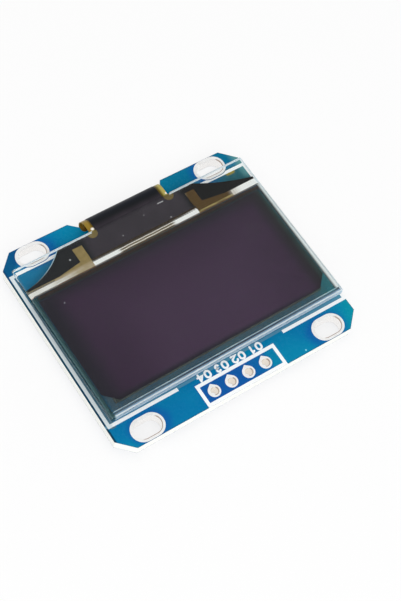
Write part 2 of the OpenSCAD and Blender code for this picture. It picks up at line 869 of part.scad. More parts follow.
circuit_board();
front_print();
back_print();
for (i = [1:4])
    slot_plating(i);
for (i = [1:pin_count])
    header_eyelet(i);
foam_tape();
cap_glass();
drying_sheet();
seal_bead();
emitter_layer();
glass_leads();
front_glass();
polarizer();
tail_film();
tail_cover();
driver_chip();
chip_resin();
tail_contacts();
tail_lands();
tail_solder();
for (i = [1:len(CAPS)])
    capacitor(i);
for (i = [1:len(RESISTORS)])
    resistor(i);
capacitor_ends();
resistor_ends();
regulator_case();
regulator_legs();
diode_case();
diode_legs();
part_lands();
part_solder();
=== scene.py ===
"""Looks of a small OLED display module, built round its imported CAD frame.

The module is a glass display panel taped to a blue circuit board. A film tail
leaves the panel under its glass ledge and folds through a notch to the board's
back. Lengths in this file are millimetres unless a name says otherwise, and
they are turned into metres where a mesh, a lamp or the camera is made.
"""
from __future__ import annotations

import json
import logging
import math
from dataclasses import dataclass
from enum import Enum
from functools import cached_property
from typing import Callable, Iterable, Sequence

import bpy
import numpy as np
from mathutils import Matrix, Vector


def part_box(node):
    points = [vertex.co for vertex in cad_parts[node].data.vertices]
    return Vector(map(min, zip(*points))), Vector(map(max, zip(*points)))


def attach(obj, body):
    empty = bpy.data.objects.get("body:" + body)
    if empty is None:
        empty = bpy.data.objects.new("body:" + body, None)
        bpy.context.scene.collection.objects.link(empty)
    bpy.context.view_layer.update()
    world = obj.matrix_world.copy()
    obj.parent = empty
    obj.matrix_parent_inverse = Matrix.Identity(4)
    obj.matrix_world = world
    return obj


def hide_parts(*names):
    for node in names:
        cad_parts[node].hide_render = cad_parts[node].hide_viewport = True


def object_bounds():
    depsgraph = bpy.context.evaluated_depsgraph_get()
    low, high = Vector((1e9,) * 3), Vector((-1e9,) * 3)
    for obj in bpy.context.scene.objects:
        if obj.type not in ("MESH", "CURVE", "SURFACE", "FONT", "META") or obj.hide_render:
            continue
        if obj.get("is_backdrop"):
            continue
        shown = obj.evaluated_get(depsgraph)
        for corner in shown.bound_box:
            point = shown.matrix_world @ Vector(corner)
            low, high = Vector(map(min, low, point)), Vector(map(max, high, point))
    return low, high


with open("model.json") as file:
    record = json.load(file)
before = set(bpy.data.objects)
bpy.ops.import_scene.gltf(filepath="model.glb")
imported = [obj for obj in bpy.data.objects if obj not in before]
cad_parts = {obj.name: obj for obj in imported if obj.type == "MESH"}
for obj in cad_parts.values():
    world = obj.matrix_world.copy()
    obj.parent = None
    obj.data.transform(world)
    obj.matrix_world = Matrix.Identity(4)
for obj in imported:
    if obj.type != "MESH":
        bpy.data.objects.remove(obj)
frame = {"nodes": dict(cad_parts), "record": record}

LOG = logging.getLogger("module")
MM = 0.001
WHITE = (1.0, 1.0, 1.0)

Socket = bpy.types.NodeSocket
Colour = tuple[float, float, float]
Span = tuple[float, float]
Spot = tuple[float, float, float, float]
Fade = tuple[Span, float, float]

# Directions on the board, as shares of x and y. The panel is taped on askew,
# so its own far direction leans a little.
X: Span = (1.0, 0.0)
Y: Span = (0.0, 1.0)
PANEL_Y: Span = (-0.0105, 1.0)

# The chipping's wave: how fast it runs along x and y, and its two quicker sines
CHIP_RUN: Span = (1.9, 2.3)
CHIP_SINES: Span = (2.7, 7.3)


# ---- Measures taken from the frame ------------------------------------------


def low(node: str) -> np.ndarray:
    """Lowest corner of a CAD node, in millimetres."""
    return np.array(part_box(node)[0]) / MM


def high(node: str) -> np.ndarray:
    """Highest corner of a CAD node, in millimetres."""
    return np.array(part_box(node)[1]) / MM


def middle(node: str) -> np.ndarray:
    """Middle of a CAD node's box, in millimetres."""
    return (low(node) + high(node)) / 2


def middles(stem: str, count: int) -> list[float]:
    """The x of the middle of each numbered node, from 1 up to the count."""
    return [middle(f"{stem}_{i}")[0] for i in range(1, count + 1)]


@dataclass(frozen=True)
class PanelFrame:
    """The glass panel's turn: what belongs to it is drawn square, then turned."""

    skew_deg: float = 0.6

    def turn(self) -> np.ndarray:
        """The matrix that rows of x and y are multiplied by."""
        c, s = math.cos(math.radians(self.skew_deg)), math.sin(math.radians(self.skew_deg))
        return np.array([[c, s], [-s, c]])

    def half(self, node: str) -> np.ndarray:
        """Half width and half depth of a rectangular node, from its turned box.

        Formula: a turned rectangle's box has the half sides a cos t + b sin t
        and a sin t + b cos t, so a and b come from solving those two.

        Args:
            node: a CAD node that is turned with the panel.

        Returns:
            The two half sides.
        """
        return np.linalg.solve(np.abs(self.turn()), (high(node) - low(node))[:2] / 2)

    def place(self, flat: np.ndarray, node: str) -> np.ndarray:
        """Turns rows of x and y, and moves their origin to a node's middle."""
        return flat @ self.turn() + middle(node)[:2]


# ---- Mesh helpers -----------------------------------------------------------


@dataclass
class Shape:
    """A mesh in the making: points in millimetres, and blocks of faces.

    Each block is an array of faces that all have the same number of corners,
    with an array of their finish numbers beside it.
    """

    points: np.ndarray
    faces: list[np.ndarray]
    finish: list[np.ndarray]


def join(shapes: Iterable[Shape]) -> Shape:
    """Puts several shapes into one, with their faces renumbered.

    Args:
        shapes: the shapes, kept as separate solids.

    Returns:
        One shape that holds them all.
    """
    shapes = list(shapes)
    starts = np.cumsum([0] + [len(shape.points) for shape in shapes])
    faces = [block + start for shape, start in zip(shapes, starts) for block in shape.faces]
    finish = [block for shape in shapes for block in shape.finish]
    return Shape(np.vstack([shape.points for shape in shapes]), faces, finish)


def loft(rings: np.ndarray, bands: Sequence[int] = (), closed: bool = False) -> Shape:
    """Skins a stack of rings that all have the same number of points.

    Formula: ring r, point i is joined to point i + 1 of the same ring and to
    both points of ring r + 1. The first and last ring are closed by a face,
    unless the stack runs back into itself.

    Args:
        rings: array of rings by points by x, y, z, each ring counterclockwise
            seen against the direction of the stack.
        bands: finish number of each band between two rings.
        closed: True if the last ring joins the first.

    Returns:
        A closed shape with its faces outwards.
    """
    count, around = rings.shape[:2]
    number = np.arange(count * around).reshape(count, around)
    here = number if closed else number[:-1]
    there = np.roll(number, -1, 0)[:len(here)]
    walls = np.stack([here, np.roll(here, -1, 1), np.roll(there, -1, 1), there], -1)
    marks = np.repeat(np.asarray(bands or [0] * len(here), np.int32), around)
    faces, finish = [walls.reshape(-1, 4)], [marks]
    if not closed:
        faces.append(np.stack([number[0, ::-1], number[-1]]))
        finish.append(np.zeros(2, np.int32))
    return Shape(rings.reshape(-1, 3), faces, finish)


def lifted(flat: np.ndarray, height: float) -> np.ndarray:
    """Rows of x and y with the same z added to each."""
    return np.column_stack([flat, np.full(len(flat), height)])


def rounded_rectangle(half: np.ndarray, radius: float, pitch: int,
                      steps: int = 4) -> tuple[np.ndarray, np.ndarray]:
    """Points of a rectangle with round corners, counterclockwise.

    Formula: each corner is a quarter circle of the given radius about a
    centre that stands one radius in from both sides, and pitch - 1 points are
    spread evenly along each straight side between two corners.

    Args:
        half: half width and half depth.
        radius: corner radius.
        pitch: how many steps each side is cut into.
        steps: points on each corner.

    Returns:
        Array of x, y rows, and the outward direction at each of them.
    """
    quarter = np.linspace(0, math.pi / 2, steps)
    angles = quarter[None, :] + np.arange(4)[:, None] * math.pi / 2
    away = np.stack([np.cos(angles), np.sin(angles)], -1)
    centres = (half - radius) * np.array([[1, 1], [-1, 1], [-1, -1], [1, -1]])
    corner = centres[:, None, :] + radius * away
    share = (np.arange(1, pitch) / pitch)[None, :, None]
    start, end = corner[:, -1:], np.roll(corner[:, :1], -1, 0)
    side = start + (end - start) * share
    side_away = np.repeat(away[:, -1:], pitch - 1, 1)
    points = np.concatenate([corner, side], 1).reshape(-1, 2)
    return points, np.concatenate([away, side_away], 1).reshape(-1, 2)


def slab(half: np.ndarray, profile: Sequence[Span], radius: float, bands: Sequence[int],
         pitch: int, chips: Sequence[float]) -> Shape:
    """A plate whose edge follows a profile carried round a rectangle.

    Formula: each profile point (inset, height) makes one rounded rectangle,
    inset from the plate's outline and lifted to the height. Its chipping eats
    further in by the chip depth times a wave between 0 and 1, the product of
    two slow sines and a quick one along the outline.

    Args:
        half: half width and half depth of the plate.
        profile: points from the underside's middle round to the top's middle.
        radius: corner radius of the outline.
        bands: finish number of each band of the profile.
        pitch: how many steps each side is cut into.
        chips: depth of the chipping at each profile point.

    Returns:
        The closed plate.
    """
    rings = []
    slow, quick = CHIP_SINES
    for (inset, height), depth in zip(profile, chips):
        flat, away = rounded_rectangle(half - inset, max(radius - inset, radius / 4), pitch)
        run = flat[:, 0] * CHIP_RUN[0] + flat[:, 1] * CHIP_RUN[1]
        wave = 0.5 + 0.5 * np.sin(run) * np.sin(slow * run + height)
        wave = wave * np.abs(np.sin(quick * run))
        rings.append(lifted(flat - away * (depth * wave)[:, None], height))
    return loft(np.array(rings), bands)


def unit(rows: np.ndarray) -> np.ndarray:
    """The same directions with length 1."""
    return rows / np.linalg.norm(rows, axis=-1, keepdims=True)


def ribbon(path: np.ndarray, width: float, floor: float, top: float,
           closed: bool = False) -> Shape:
    """A flat raised line with round ends, drawn along a path.

    Formula: at each path point a rectangle stands across the path's mean
    direction. Past both ends the width falls as the square root of one minus
    the square of the distance, in half widths, which makes a half circle.

    Args:
        path: array of x, y rows.
        width: width of the line.
        floor: height of its lower face.
        top: height of its upper face.
        closed: True if the path returns to its start.

    Returns:
        The closed line.
    """
    half = width / 2
    reach = np.full(len(path), half)
    if closed:
        ahead, behind = np.roll(path, -1, 0) - path, path - np.roll(path, 1, 0)
    else:
        steps = np.sin(np.linspace(0, math.pi / 2, 4))[1:] * half
        head = path[0] + unit(path[0] - path[1]) * steps[::-1, None]
        tail = path[-1] + unit(path[-1] - path[-2]) * steps[:, None]
        cap = half * np.sqrt(np.clip(1 - (steps / half) ** 2, 0.01, 1))
        reach = np.concatenate([cap[::-1], reach, cap])
        path = np.vstack([head, path, tail])
        along = np.diff(path, axis=0)
        ahead, behind = np.vstack([along, along[-1:]]), np.vstack([along[:1], along])
    ahead = unit(ahead)
    along = unit(ahead + unit(behind))
    miter = 1 / np.clip((along * ahead).sum(1), 0.5, 1)
    side = np.column_stack([-along[:, 1], along[:, 0]]) * (reach * miter)[:, None]
    left, right = path + side, path - side
    corners = [(left, floor), (left, top), (right, top), (right, floor)]
    return loft(np.stack([lifted(*corner) for corner in corners], 1), closed=closed)


def arc(centre: Span, radius: float, start: float, end: float, steps: int = 12) -> np.ndarray:
    """Points on a circle's arc between two angles in degrees.

    Args:
        centre: x and y of the circle's middle.
        radius: its radius.
        start: first angle.
        end: last angle.
        steps: number of points.

    Returns:
        Array of x, y rows.
    """
    angles = np.radians(np.linspace(start, end, steps))
    return np.asarray(centre) + radius * np.column_stack([np.cos(angles), np.sin(angles)])


def build(name: str, shape: Shape, materials: Sequence[bpy.types.Material],
          replaces: Sequence[str] = ()) -> bpy.types.Object:
    """Makes the object of a shape, puts it on the frame and reports it.

    Args:
        name: the piece's name.
        shape: its mesh, in millimetres in the board's frame.
        materials: its finishes, in the order of the shape's finish numbers.
        replaces: the CAD nodes it stands for.

    Returns:
        The new object.
    """
    mesh = bpy.data.meshes.new(name)
    faces = [face for block in shape.faces for face in block.tolist()]
    mesh.from_pydata((shape.points * MM).tolist(), [], faces)
    mesh.polygons.foreach_set("material_index", np.concatenate(shape.finish))
    for material in materials:
        mesh.materials.append(material)
    mesh.validate()
    mesh.update()
    piece = bpy.data.objects.new(name, mesh)
    bpy.context.scene.collection.objects.link(piece)
    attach(piece, "root")
    if replaces:
        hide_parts(*replaces)
    LOG.info("%s: %d faces, replaces %s", name, len(faces), list(replaces) or "nothing")
    return piece


# ---- Node graphs ------------------------------------------------------------


def step(operation: str, flipped: bool = False) -> Callable[..., Value]:
    """Makes the method of Value that does one kind of arithmetic.

    Args:
        operation: the Math node's operation.
        flipped: True if the value itself comes second.

    Returns:
        A method that takes the other number, where the operation needs one.
    """
    def method(self: Value, other: object = 0.0) -> Value:
        """Adds the Math node and hands its output over."""
        pair = (other, self) if flipped else (self, other)
        return self.graph.node("Math", *pair, operation=operation)
    return method


class Value:
    """A node's output that can be reckoned with; each step adds a Math node."""

    def __init__(self, graph: Graph, socket: Socket) -> None:
        """Keeps the output and the graph that it stands in."""
        self.graph = graph
        self.socket = socket

    __add__ = __radd__ = step("ADD")
    __mul__ = __rmul__ = step("MULTIPLY")
    __sub__, __rsub__ = step("SUBTRACT"), step("SUBTRACT", flipped=True)
    __truediv__ = step("DIVIDE")
    __lt__, __gt__ = step("LESS_THAN"), step("GREATER_THAN")
    __abs__ = step("ABSOLUTE")
    least, most = step("MINIMUM"), step("MAXIMUM")
    sine, root, sign, whole = step("SINE"), step("SQRT"), step("SIGN"), step("ROUND")

    def hypotenuse(self, other: Value) -> Value:
        """The square root of the two values' squares added up."""
        return (self * self + other * other).root()

    def between(self, start: object, end: object) -> Value:
        """The start where this value is 0 and the end where it is 1."""
        return self.graph.node("Math", self, end - start, start, operation="MULTIPLY_ADD")

    def clamped(self) -> Value:
        """This value, kept from 0 to 1."""
        return self.graph.node("Math", self, 0.0, operation="ADD", use_clamp=True)

    def ramp(self, start: float, end: float) -> Value:
        """0 at the start and 1 at the end, smooth between them; either may be lower."""
        return self.graph.node("MapRange", self, start, end, 0.0, 1.0,
                               interpolation_type="SMOOTHSTEP")


class Graph:
    """A node tree, written as short calls.

    Positions are Object coordinates in millimetres, so every scale and
    distance in a finish is a real length.
    """

    def __init__(self, owner: bpy.types.Material | bpy.types.World) -> None:
        """Empties the owner's node tree and works on it.

        Args:
            owner: the material or world that the tree belongs to.
        """
        self.owner = owner
        owner.use_nodes = True
        self.tree = owner.node_tree
        self.tree.nodes.clear()

    def fill(self, socket: Socket, value: object) -> None:
        """Links a Value to a socket, or sets the socket's own value.

        Args:
            socket: an input of a node.
            value: a Value, a number or a tuple.
        """
        if isinstance(value, Value):
            self.tree.links.new(value.socket, socket)
        else:
            socket.default_value = (*value, 1.0) if socket.type == "RGBA" else value

    def node(self, kind: str, *values: object, out: int | str = 0, **named: object) -> Value:
        """Adds a node, fills its inputs and sets its properties.

        Args:
            kind: the node's type, without the leading "ShaderNode".
            values: its first inputs in their order, as in fill().
            out: number or name of the output that is asked for.
            named: other inputs by name, with underscores for spaces, and
                properties, whose names start with a small letter.

        Returns:
            The output.
        """
        made = self.tree.nodes.new("ShaderNode" + kind)
        for socket, value in zip(made.inputs, values):
            self.fill(socket, value)
        for key, value in named.items():
            if key[0].islower():
                setattr(made, key, value)
            else:
                self.fill(made.inputs[key.replace("_", " ")], value)
        return Value(self, made.outputs[out])

    @cached_property
    def position(self) -> Value:
        """Object coordinates in millimetres."""
        place = self.node("TexCoord", out="Object")
        return self.node("VectorMath", place, operation="SCALE", Scale=1 / MM)

    @cached_property
    def axes(self) -> list[Value]:
        """The x, y and z of the position."""
        return [self.node("SeparateXYZ", self.position, out=i) for i in range(3)]

    def along(self, direction: Span) -> Value:
        """How far a point lies along a direction on the board."""
        return self.axes[0] * direction[0] + self.axes[1] * direction[1]

    def noise(self, noise: Noise) -> Value:
        """The value of a noise.

        Args:
            noise: its measures.

        Returns:
            A value from 0 to 1, 0.5 on average if the noise has no span.
        """
        place = self.position
        if noise.stretch:
            place = self.node("Mapping", place, Scale=noise.stretch)
        value = self.node("TexNoise", Vector=place, Scale=1 / noise.size, Detail=noise.detail)
        return value.ramp(*noise.span) if noise.span else value

    def waves(self, value: Value, pitch: float, phase: float = 0.0) -> Value:
        """A sine from -1 to 1 that comes round once in each pitch."""
        return (value * (2 * math.pi / pitch) + phase).sine()

    def box(self, left: float, right: float, near: float, far: float, soft: float) -> Value:
        """1 inside a rectangle seen from above and 0 outside it.

        Args:
            left: lowest x.
            right: highest x.
            near: lowest y.
            far: highest y.
            soft: width of the soft border, which lies outside the sides.

        Returns:
            The share.
        """
        x, y, _ = self.axes
        off_x = abs(x - (left + right) / 2) - (right - left) / 2
        off_y = abs(y - (near + far) / 2) - (far - near) / 2
        return off_x.most(off_y).ramp(soft, 0.0)

    def spots(self, places: Sequence[Spot]) -> Value:
        """1 on small round spots or short bars along x, and 0 elsewhere.

        Args:
            places: x, y, reach and half length of each. Its border fades from
                half the reach to one and a half times the reach.

        Returns:
            The share.
        """
        x, y, _ = self.axes
        total: object = 0.0
        for at_x, at_y, reach, half_length in places:
            along = (abs(x - at_x) - half_length).most(0.0)
            total = along.hypotenuse(y - at_y).ramp(1.5 * reach, 0.5 * reach).most(total)
        return total

    def coat(self, colour: object, *coats: Patch | tuple[object, object]) -> Value:
        """Lays coats over a colour, one after the other.

        Args:
            colour: the colour underneath.
            coats: patches, or pairs of a share from 0 to 1 and a colour.

        Returns:
            The colour that comes of it.
        """
        for coat in coats:
            share, tint = coat if isinstance(coat, tuple) else (coat.share(self), coat.colour)
            made = self.tree.nodes.new("ShaderNodeMix")
            made.data_type = "RGBA"
            for i, value in ((0, share), (6, colour), (7, tint)):
                self.fill(made.inputs[i], value)
            colour = Value(self, made.outputs[2])
        return colour

    def bump(self, height: Value, depth: float, **under: Value) -> Value:
        """A bumped normal, where height runs over depth millimetres."""
        return self.node("Bump", Height=height, Distance=depth * MM, **under)

    def principled(self, **inputs: object) -> Value:
        """A Principled shader; inputs as in node()."""
        return self.node("BsdfPrincipled", **inputs)

    def mix(self, share: object, a: Value, b: Value) -> Value:
        """Shader a where share is 0 and shader b where it is 1."""
        return self.node("MixShader", share, a, b)

    def ray(self, kind: str) -> Value:
        """1 for light rays of one kind, and 0 for the rest."""
        return self.node("LightPath", out=f"Is {kind} Ray")

    def seen(self) -> Value:
        """1 for rays from the camera, a mirror or glass, and 0 for the rest."""
        return self.ray("Camera").most(self.ray("Glossy")).most(self.ray("Transmission"))

    def lit_through(self, surface: Value, passing: Value) -> Value:
        """The surface as it is seen, and the passing shader for light on its way in."""
        surface = self.mix(self.ray("Shadow"), surface, passing)
        return self.mix(self.ray("Diffuse"), surface, passing)

    def finish(self, surface: Value, kind: str = "OutputMaterial"
               ) -> bpy.types.Material | bpy.types.World:
        """Links the surface to an output node and hands its owner over."""
        self.fill(self.tree.nodes.new("ShaderNode" + kind).inputs["Surface"], surface)
        return self.owner


class Slot(Enum):
    """The record's material slots."""

    BOARD = "board"
    PRINT = "print"
    PLATING = "plating"
    FOAM = "foam"
    GLASS = "glass"
    DRYER = "dryer"
    SEAL = "seal"
    EMITTER = "emitter"
    LEADS = "leads"
    POLARIZER = "polarizer"
    FILM = "film"
    FILM_COVER = "film_cover"
    CHIP = "chip"
    RESIN = "resin"
    COPPER = "copper"
    TIN = "tin"
    SOLDER = "solder"
    CAPACITOR = "capacitor"
    RESISTOR = "resistor"
    CASE = "case"


# ---- Finishes ---------------------------------------------------------------


@dataclass(frozen=True)
class Noise:
    """Smooth noise: the size of its spots and how many finer octaves it has.

    Its stretch scales x, y and z of the position, and its span is the part of
    its values that is spread from 0 to 1.
    """

    size: float
    detail: float = 2.0
    stretch: tuple[float, float, float] | None = None
    span: Span | None = None


CLOUDS = Noise(0.45, 3.0, span=(0.35, 0.75))
DIMPLES = Noise(0.06)


@dataclass(frozen=True)
class Patch:
    """A coat of colour on part of a finish.

    Its strength is the product of the peak, the fades, the box and the spots.
    A fade is a direction, the place where it is 0 and the place where it is 1.
    """

    colour: Colour
    peak: float = 1.0
    fades: tuple[Fade, ...] = ()
    box: tuple[float, ...] = ()
    spots: tuple[Spot, ...] = ()

    def share(self, g: Graph) -> Value | float:
        """How strongly the coat covers a point.

        Args:
            g: the graph of the finish.

        Returns:
            The share, from 0 to 1.
        """
        parts = [g.along(direction).ramp(start, end) for direction, start, end in self.fades]
        parts += [g.box(*self.box)] if self.box else []
        parts += [g.spots(self.spots)] if self.spots else []
        share: Value | float = self.peak
        for part in parts:
            share = part * share
        return share


@dataclass(frozen=True)
class Finish:
    """What a surface is made of, under the name of its material."""

    name: str

    def surface(self, g: Graph) -> Value:
        """The surface's shader, built on a graph."""
        raise NotImplementedError

    def material(self) -> bpy.types.Material:
        """A new material with this surface."""
        g = Graph(bpy.data.materials.new(self.name))
        return g.finish(self.surface(g))


@dataclass(frozen=True)
class SolderMask(Finish):
    """Blue solder mask over copper, with the bare laminate at the edges.

    The mask looks deeper blue where no copper lies under it: in the header's
    box, round the slots and along the routed edges. Painted shade deepens the
    rim along the left edge and darkens the board under the glass ledge, in its
    far left corner and over its far right part.
    """

    name: str = "solder_mask"
    over_copper: Colour = (0.0, 0.175, 0.385)
    teal: Colour = (0.0, 0.225, 0.405)
    over_laminate: Colour = (0.004, 0.092, 0.365)
    # Dark rim along the routed edges, deepened by painted shade on the left side
    rim: Colour = (0.001, 0.022, 0.04)
    laminate: Colour = (0.97, 0.98, 0.95)
    laminate_shade: Colour = (0.90, 0.91, 0.84)
    # The near right corner's teal tone, and painted shade over the far right part
    # of the board
    corner_tone_and_far_shade: tuple[Patch, ...] = (
        Patch((0.0, 0.28, 0.38), fades=(((1.0, -0.35), 19.6, 22.4),)),
        Patch((0.0, 0.155, 0.27), 0.8, ((X, 5.0, 8.0), (Y, 8.0, 9.0))))
    # Beside and before the glass; painted shade in the far left corner, in its
    # strip under the ledge and in the right part under the ledge; the far right
    # corner, flux, a speck
    on_top: tuple[Patch, ...] = (
        Patch((0.10, 0.17, 0.19), 0.75, box=(-17.25, -16.7, -11.6, 12.0, 0.1)),
        Patch((0.11, 0.28, 0.40), 0.8, ((PANEL_Y, -11.2, -11.08), (PANEL_Y, -10.65, -10.85))),
        Patch((0.002, 0.07, 0.20), 0.8, (((-1.0, 1.0), 28.4, 29.6),)),
        Patch((0.002, 0.07, 0.20), 0.35, box=(-17.0, -11.0, 8.0, 11.9, 0.3)),
        Patch((0.012, 0.105, 0.12), 0.85, ((X, 11.5, 15.5), (Y, 8.5, 9.5), (Y, 12.4, 12.0))),
        Patch((0.10, 0.31, 0.33), 1.0, ((X, 16.3, 17.6), (Y, 9.5, 10.5))),
        Patch((0.30, 0.24, 0.03), spots=((15.4, 11.66, 0.35, 0.35),)),
        Patch((0.3, 0.8, 0.9), spots=((9.12, -14.79, 0.1, 0.0),)))
    clouds: Noise = Noise(6.0, 1.0, span=(0.38, 0.66))
    grain: Noise = Noise(0.09, 3.0, (1.0, 1.0, 0.35))
    grain_span: Span = (0.3, 0.8)
    gloss: Noise = Noise(0.5)
    gloss_span: Span = (0.22, 0.32)
    matt: float = 0.4
    waves: Noise = Noise(1.4)
    mask_t: float = 0.03
    mask_fade: float = 0.02
    back_to_top: Span = (0.7, 0.9)
    back_plain: float = 0.4
    corner_cut: float = 2.0
    # Painted shade that deepens the rim along the left edge: its reach and peak
    left_rim_shade: Span = (0.34, 0.16)
    left_rim_shade_peak: float = 0.85
    all_rim: Span = (0.14, 0.03)
    all_rim_peak: float = 0.4
    header_box: tuple[float, ...] = (-5.4, 4.0, -15.3, -12.2, 0.6)
    header_fade: Span = (0.0, 4.5)
    header_peaks: Span = (0.95, 0.6)
    slot_shift: float = 0.3
    slot_straight: float = 0.65
    slot_border: Span = (2.75, 1.45)
    slot_noise: Noise = Noise(2.5, 1.0)
    slot_wander: Span = (-0.45, 0.45)
    slot_peak: float = 0.7
    shallow_corner: tuple[Span, Span] = ((13.0, 15.0), (8.0, 9.0))

    def rim_share(self, g: Graph) -> Value:
        """How close a point lies to the board's outline.

        Args:
            g: the graph of the finish.

        Returns:
            The share, highest along the board's left side, where painted shade is added.
        """
        x, y, _ = g.axes
        half_x, half_y, _ = high("circuit_board").tolist()
        from_side, from_end = half_x - abs(x), half_y - abs(y)
        nearest = from_side.least(from_end).least(from_side + from_end - self.corner_cut)
        left = (x + half_x).ramp(*self.left_rim_shade) * self.left_rim_shade_peak
        return left.most(nearest.ramp(*self.all_rim) * self.all_rim_peak)

    def deep_share(self, g: Graph) -> Value:
        """How deep the mask looks, where no copper lies under it.

        Args:
            g: the graph of the finish.

        Returns:
            The share, for the header's box and the surroundings of three slots.
        """
        x, y, _ = g.axes
        boxed = g.box(*self.header_box) * x.ramp(*self.header_fade).between(*self.header_peaks)
        slot = middle("slot_plating_4")
        along = (abs(abs(x) - (slot[0] - self.slot_shift)) - self.slot_straight).most(0.0)
        away = along.hypotenuse(abs(y) - slot[1])
        away = away + g.noise(self.slot_noise).between(*self.slot_wander)
        far_right = x.ramp(*self.shallow_corner[0]) * y.ramp(*self.shallow_corner[1])
        around = away.ramp(*self.slot_border) * (1.0 - far_right) * self.slot_peak
        return boxed.most(around)

    def surface(self, g: Graph) -> Value:
        """The mask on both faces, and the bare laminate on the routed sides.

        Args:
            g: the graph of the finish.

        Returns:
            The shader.
        """
        z = g.axes[2]
        plain = g.coat(self.over_copper, (g.noise(self.clouds), self.teal), *self.corner_tone_and_far_shade,
                       (self.deep_share(g), self.over_laminate), (self.rim_share(g), self.rim))
        back = g.coat(plain, (self.back_plain, self.over_laminate))
        mask = g.coat(back, (z.ramp(*self.back_to_top), g.coat(plain, *self.on_top)))
        grain = g.noise(self.grain)
        routed = g.coat(self.laminate, (grain.ramp(*self.grain_span), self.laminate_shade))
        start, end = self.mask_t, high("circuit_board")[2] - self.mask_t
        inside = z.ramp(start, start + self.mask_fade) * z.ramp(end, end - self.mask_fade)
        rough = inside * self.matt + g.noise(self.gloss).between(*self.gloss_span)
        weave = g.bump(grain * inside, 0.004, Normal=g.bump(g.noise(self.waves), 0.008))
        return g.principled(Base_Color=g.coat(mask, (inside, routed)), Roughness=rough,
                            Normal=weave, IOR=1.2)


@dataclass(frozen=True)
class ScreenPrint(Finish):
    """White screen print, a little grainy and matt, and greyer at its left side."""

    name: str = "screen_print"
    white: Colour = (0.97, 0.985, 0.99)
    shade: Colour = (0.86, 0.91, 0.94)
    # Greyer toward the board's left edge
    greyed_left: Patch = Patch((0.45, 0.58, 0.62), 0.5, ((X, -16.8, -17.1),))
    grain: Noise = Noise(0.12, 3.0)
    grain_span: Span = (0.52, 0.85)

    def surface(self, g: Graph) -> Value:
        """White with a fine grain.

        Args:
            g: the graph of the finish.

        Returns:
            The shader.
        """
        grain = g.noise(self.grain)
        colour = g.coat(self.white, (grain.ramp(*self.grain_span), self.shade), self.greyed_left)
        return g.principled(Base_Color=colour, Roughness=0.6, Normal=g.bump(grain, 0.006))


@dataclass(frozen=True)
class Metal(Finish):
    """A metal with cloudy brightness, fine dimples and soft waves."""

    bright: Colour
    dull: Colour
    roughness: float
    dimple: float = 0.003
    waves: Noise = Noise(0.6, 1.0)
    wave: float = 0.01

    def surface(self, g: Graph) -> Value:
        """Bare metal, duller and rougher in its clouds.

        Args:
            g: the graph of the finish.

        Returns:
            The shader.
        """
        cloud = g.noise(CLOUDS)
        wave = g.bump(g.noise(self.waves), self.wave)
        return g.principled(Base_Color=g.coat(self.bright, (cloud, self.dull)), Metallic=1.0,
                            Roughness=cloud.between(self.roughness, self.roughness + 0.12),
                            Normal=g.bump(g.noise(DIMPLES), self.dimple, Normal=wave))


@dataclass(frozen=True)
class Moulding(Finish):
    """An opaque skin with two shades and a grain."""

    colour: Colour
    shade: Colour
    roughness: float
    grain: Noise = Noise(0.08, 3.0)
    grain_depth: float = 0.004
    grain_span: Span = (0.6, 0.75)
    grain_share: float = 0.35
    clouds: Noise = Noise(0.7, 3.0, span=(0.35, 0.7))
    cloud_share: float = 0.7
    uneven: float = 0.075

    def surface(self, g: Graph) -> Value:
        """The two shades, mixed by clouds and by the grain's peaks.

        Args:
            g: the graph of the finish.

        Returns:
            The shader.
        """
        grain = g.noise(self.grain)
        share = g.noise(self.clouds) * self.cloud_share
        share = (share + grain.ramp(*self.grain_span) * self.grain_share).clamped()
        rough = grain.between(self.roughness - self.uneven, self.roughness + self.uneven)
        return g.principled(Base_Color=g.coat(self.colour, (share, self.shade)), Roughness=rough,
                            Normal=g.bump(grain, self.grain_depth))


@dataclass(frozen=True)
class SheetGlass(Finish):
    """Clear sheet glass that bends what lies behind it and lets lamps through."""

    name: str = "sheet_glass"
    tint: Colour = (0.985, 0.995, 0.99)

    def surface(self, g: Graph) -> Value:
        """Clear glass, and a clear tint for the light on its way in."""
        glass = g.principled(Base_Color=self.tint, Roughness=0.0, IOR=1.45, Transmission_Weight=1.0)
        return g.lit_through(glass, g.node("BsdfTransparent", Color=self.tint))


@dataclass(frozen=True)
class CutEdge(Finish):
    """A cut edge of glass or film: chalky in streaks and clear between them.

    The chalk is strongest on the near and right sides, weaker on the left, and
    gives way to a clear tint where the far edge lies over the film's tail.
    """

    chalk: Colour
    least: float
    most: float
    left_chalk: Colour = (0.38, 0.70, 0.76)
    left_from: Span = (-16.45, -16.72)
    left_share: float = 0.12
    far_from: Span = (7.0, 7.3)
    far_share: float = 1.0
    tail: tuple[float, ...] = (-5.8, 5.8, 11.5, 12.5, 0.15)
    # A clear tint in place of the chalk where the far edge lies over the film's tail
    clear_over_tail: Colour = (0.9, 0.93, 0.92)
    core: Colour | None = None
    streaks: Noise = Noise(0.5, 3.0, (0.22, 0.22, 3.0))
    streak_share: float = 0.65
    chips: Noise = Noise(0.3, span=(0.35, 0.65))

    def surface(self, g: Graph) -> Value:
        """Chalk that both scatters light and lets some through, over the core.

        Args:
            g: the graph of the finish.

        Returns:
            The shader.
        """
        x, y, _ = g.axes
        streak = g.noise(self.streaks)
        wear = streak.ramp(*self.chips.span) * self.streak_share
        wear = wear + g.noise(self.chips) * (1 - self.streak_share)
        left = x.ramp(*self.left_from)
        far = y.ramp(*self.far_from).between(1.0, self.far_share)
        share = wear.between(self.least, self.most) * left.between(1.0, self.left_share) * far
        look = {"Color": g.coat(self.chalk, (left, self.left_chalk)), "Normal": g.bump(streak, 0.03)}
        chalk = g.mix(0.5, g.node("BsdfDiffuse", **look), g.node("BsdfTranslucent", **look))
        clear = g.node("BsdfDiffuse", Color=self.core) if self.core else SheetGlass().surface(g)
        clear_over_tail = g.node("BsdfTransparent", Color=self.clear_over_tail)
        return g.mix(g.box(*self.tail), g.mix(share, clear, chalk), clear_over_tail)


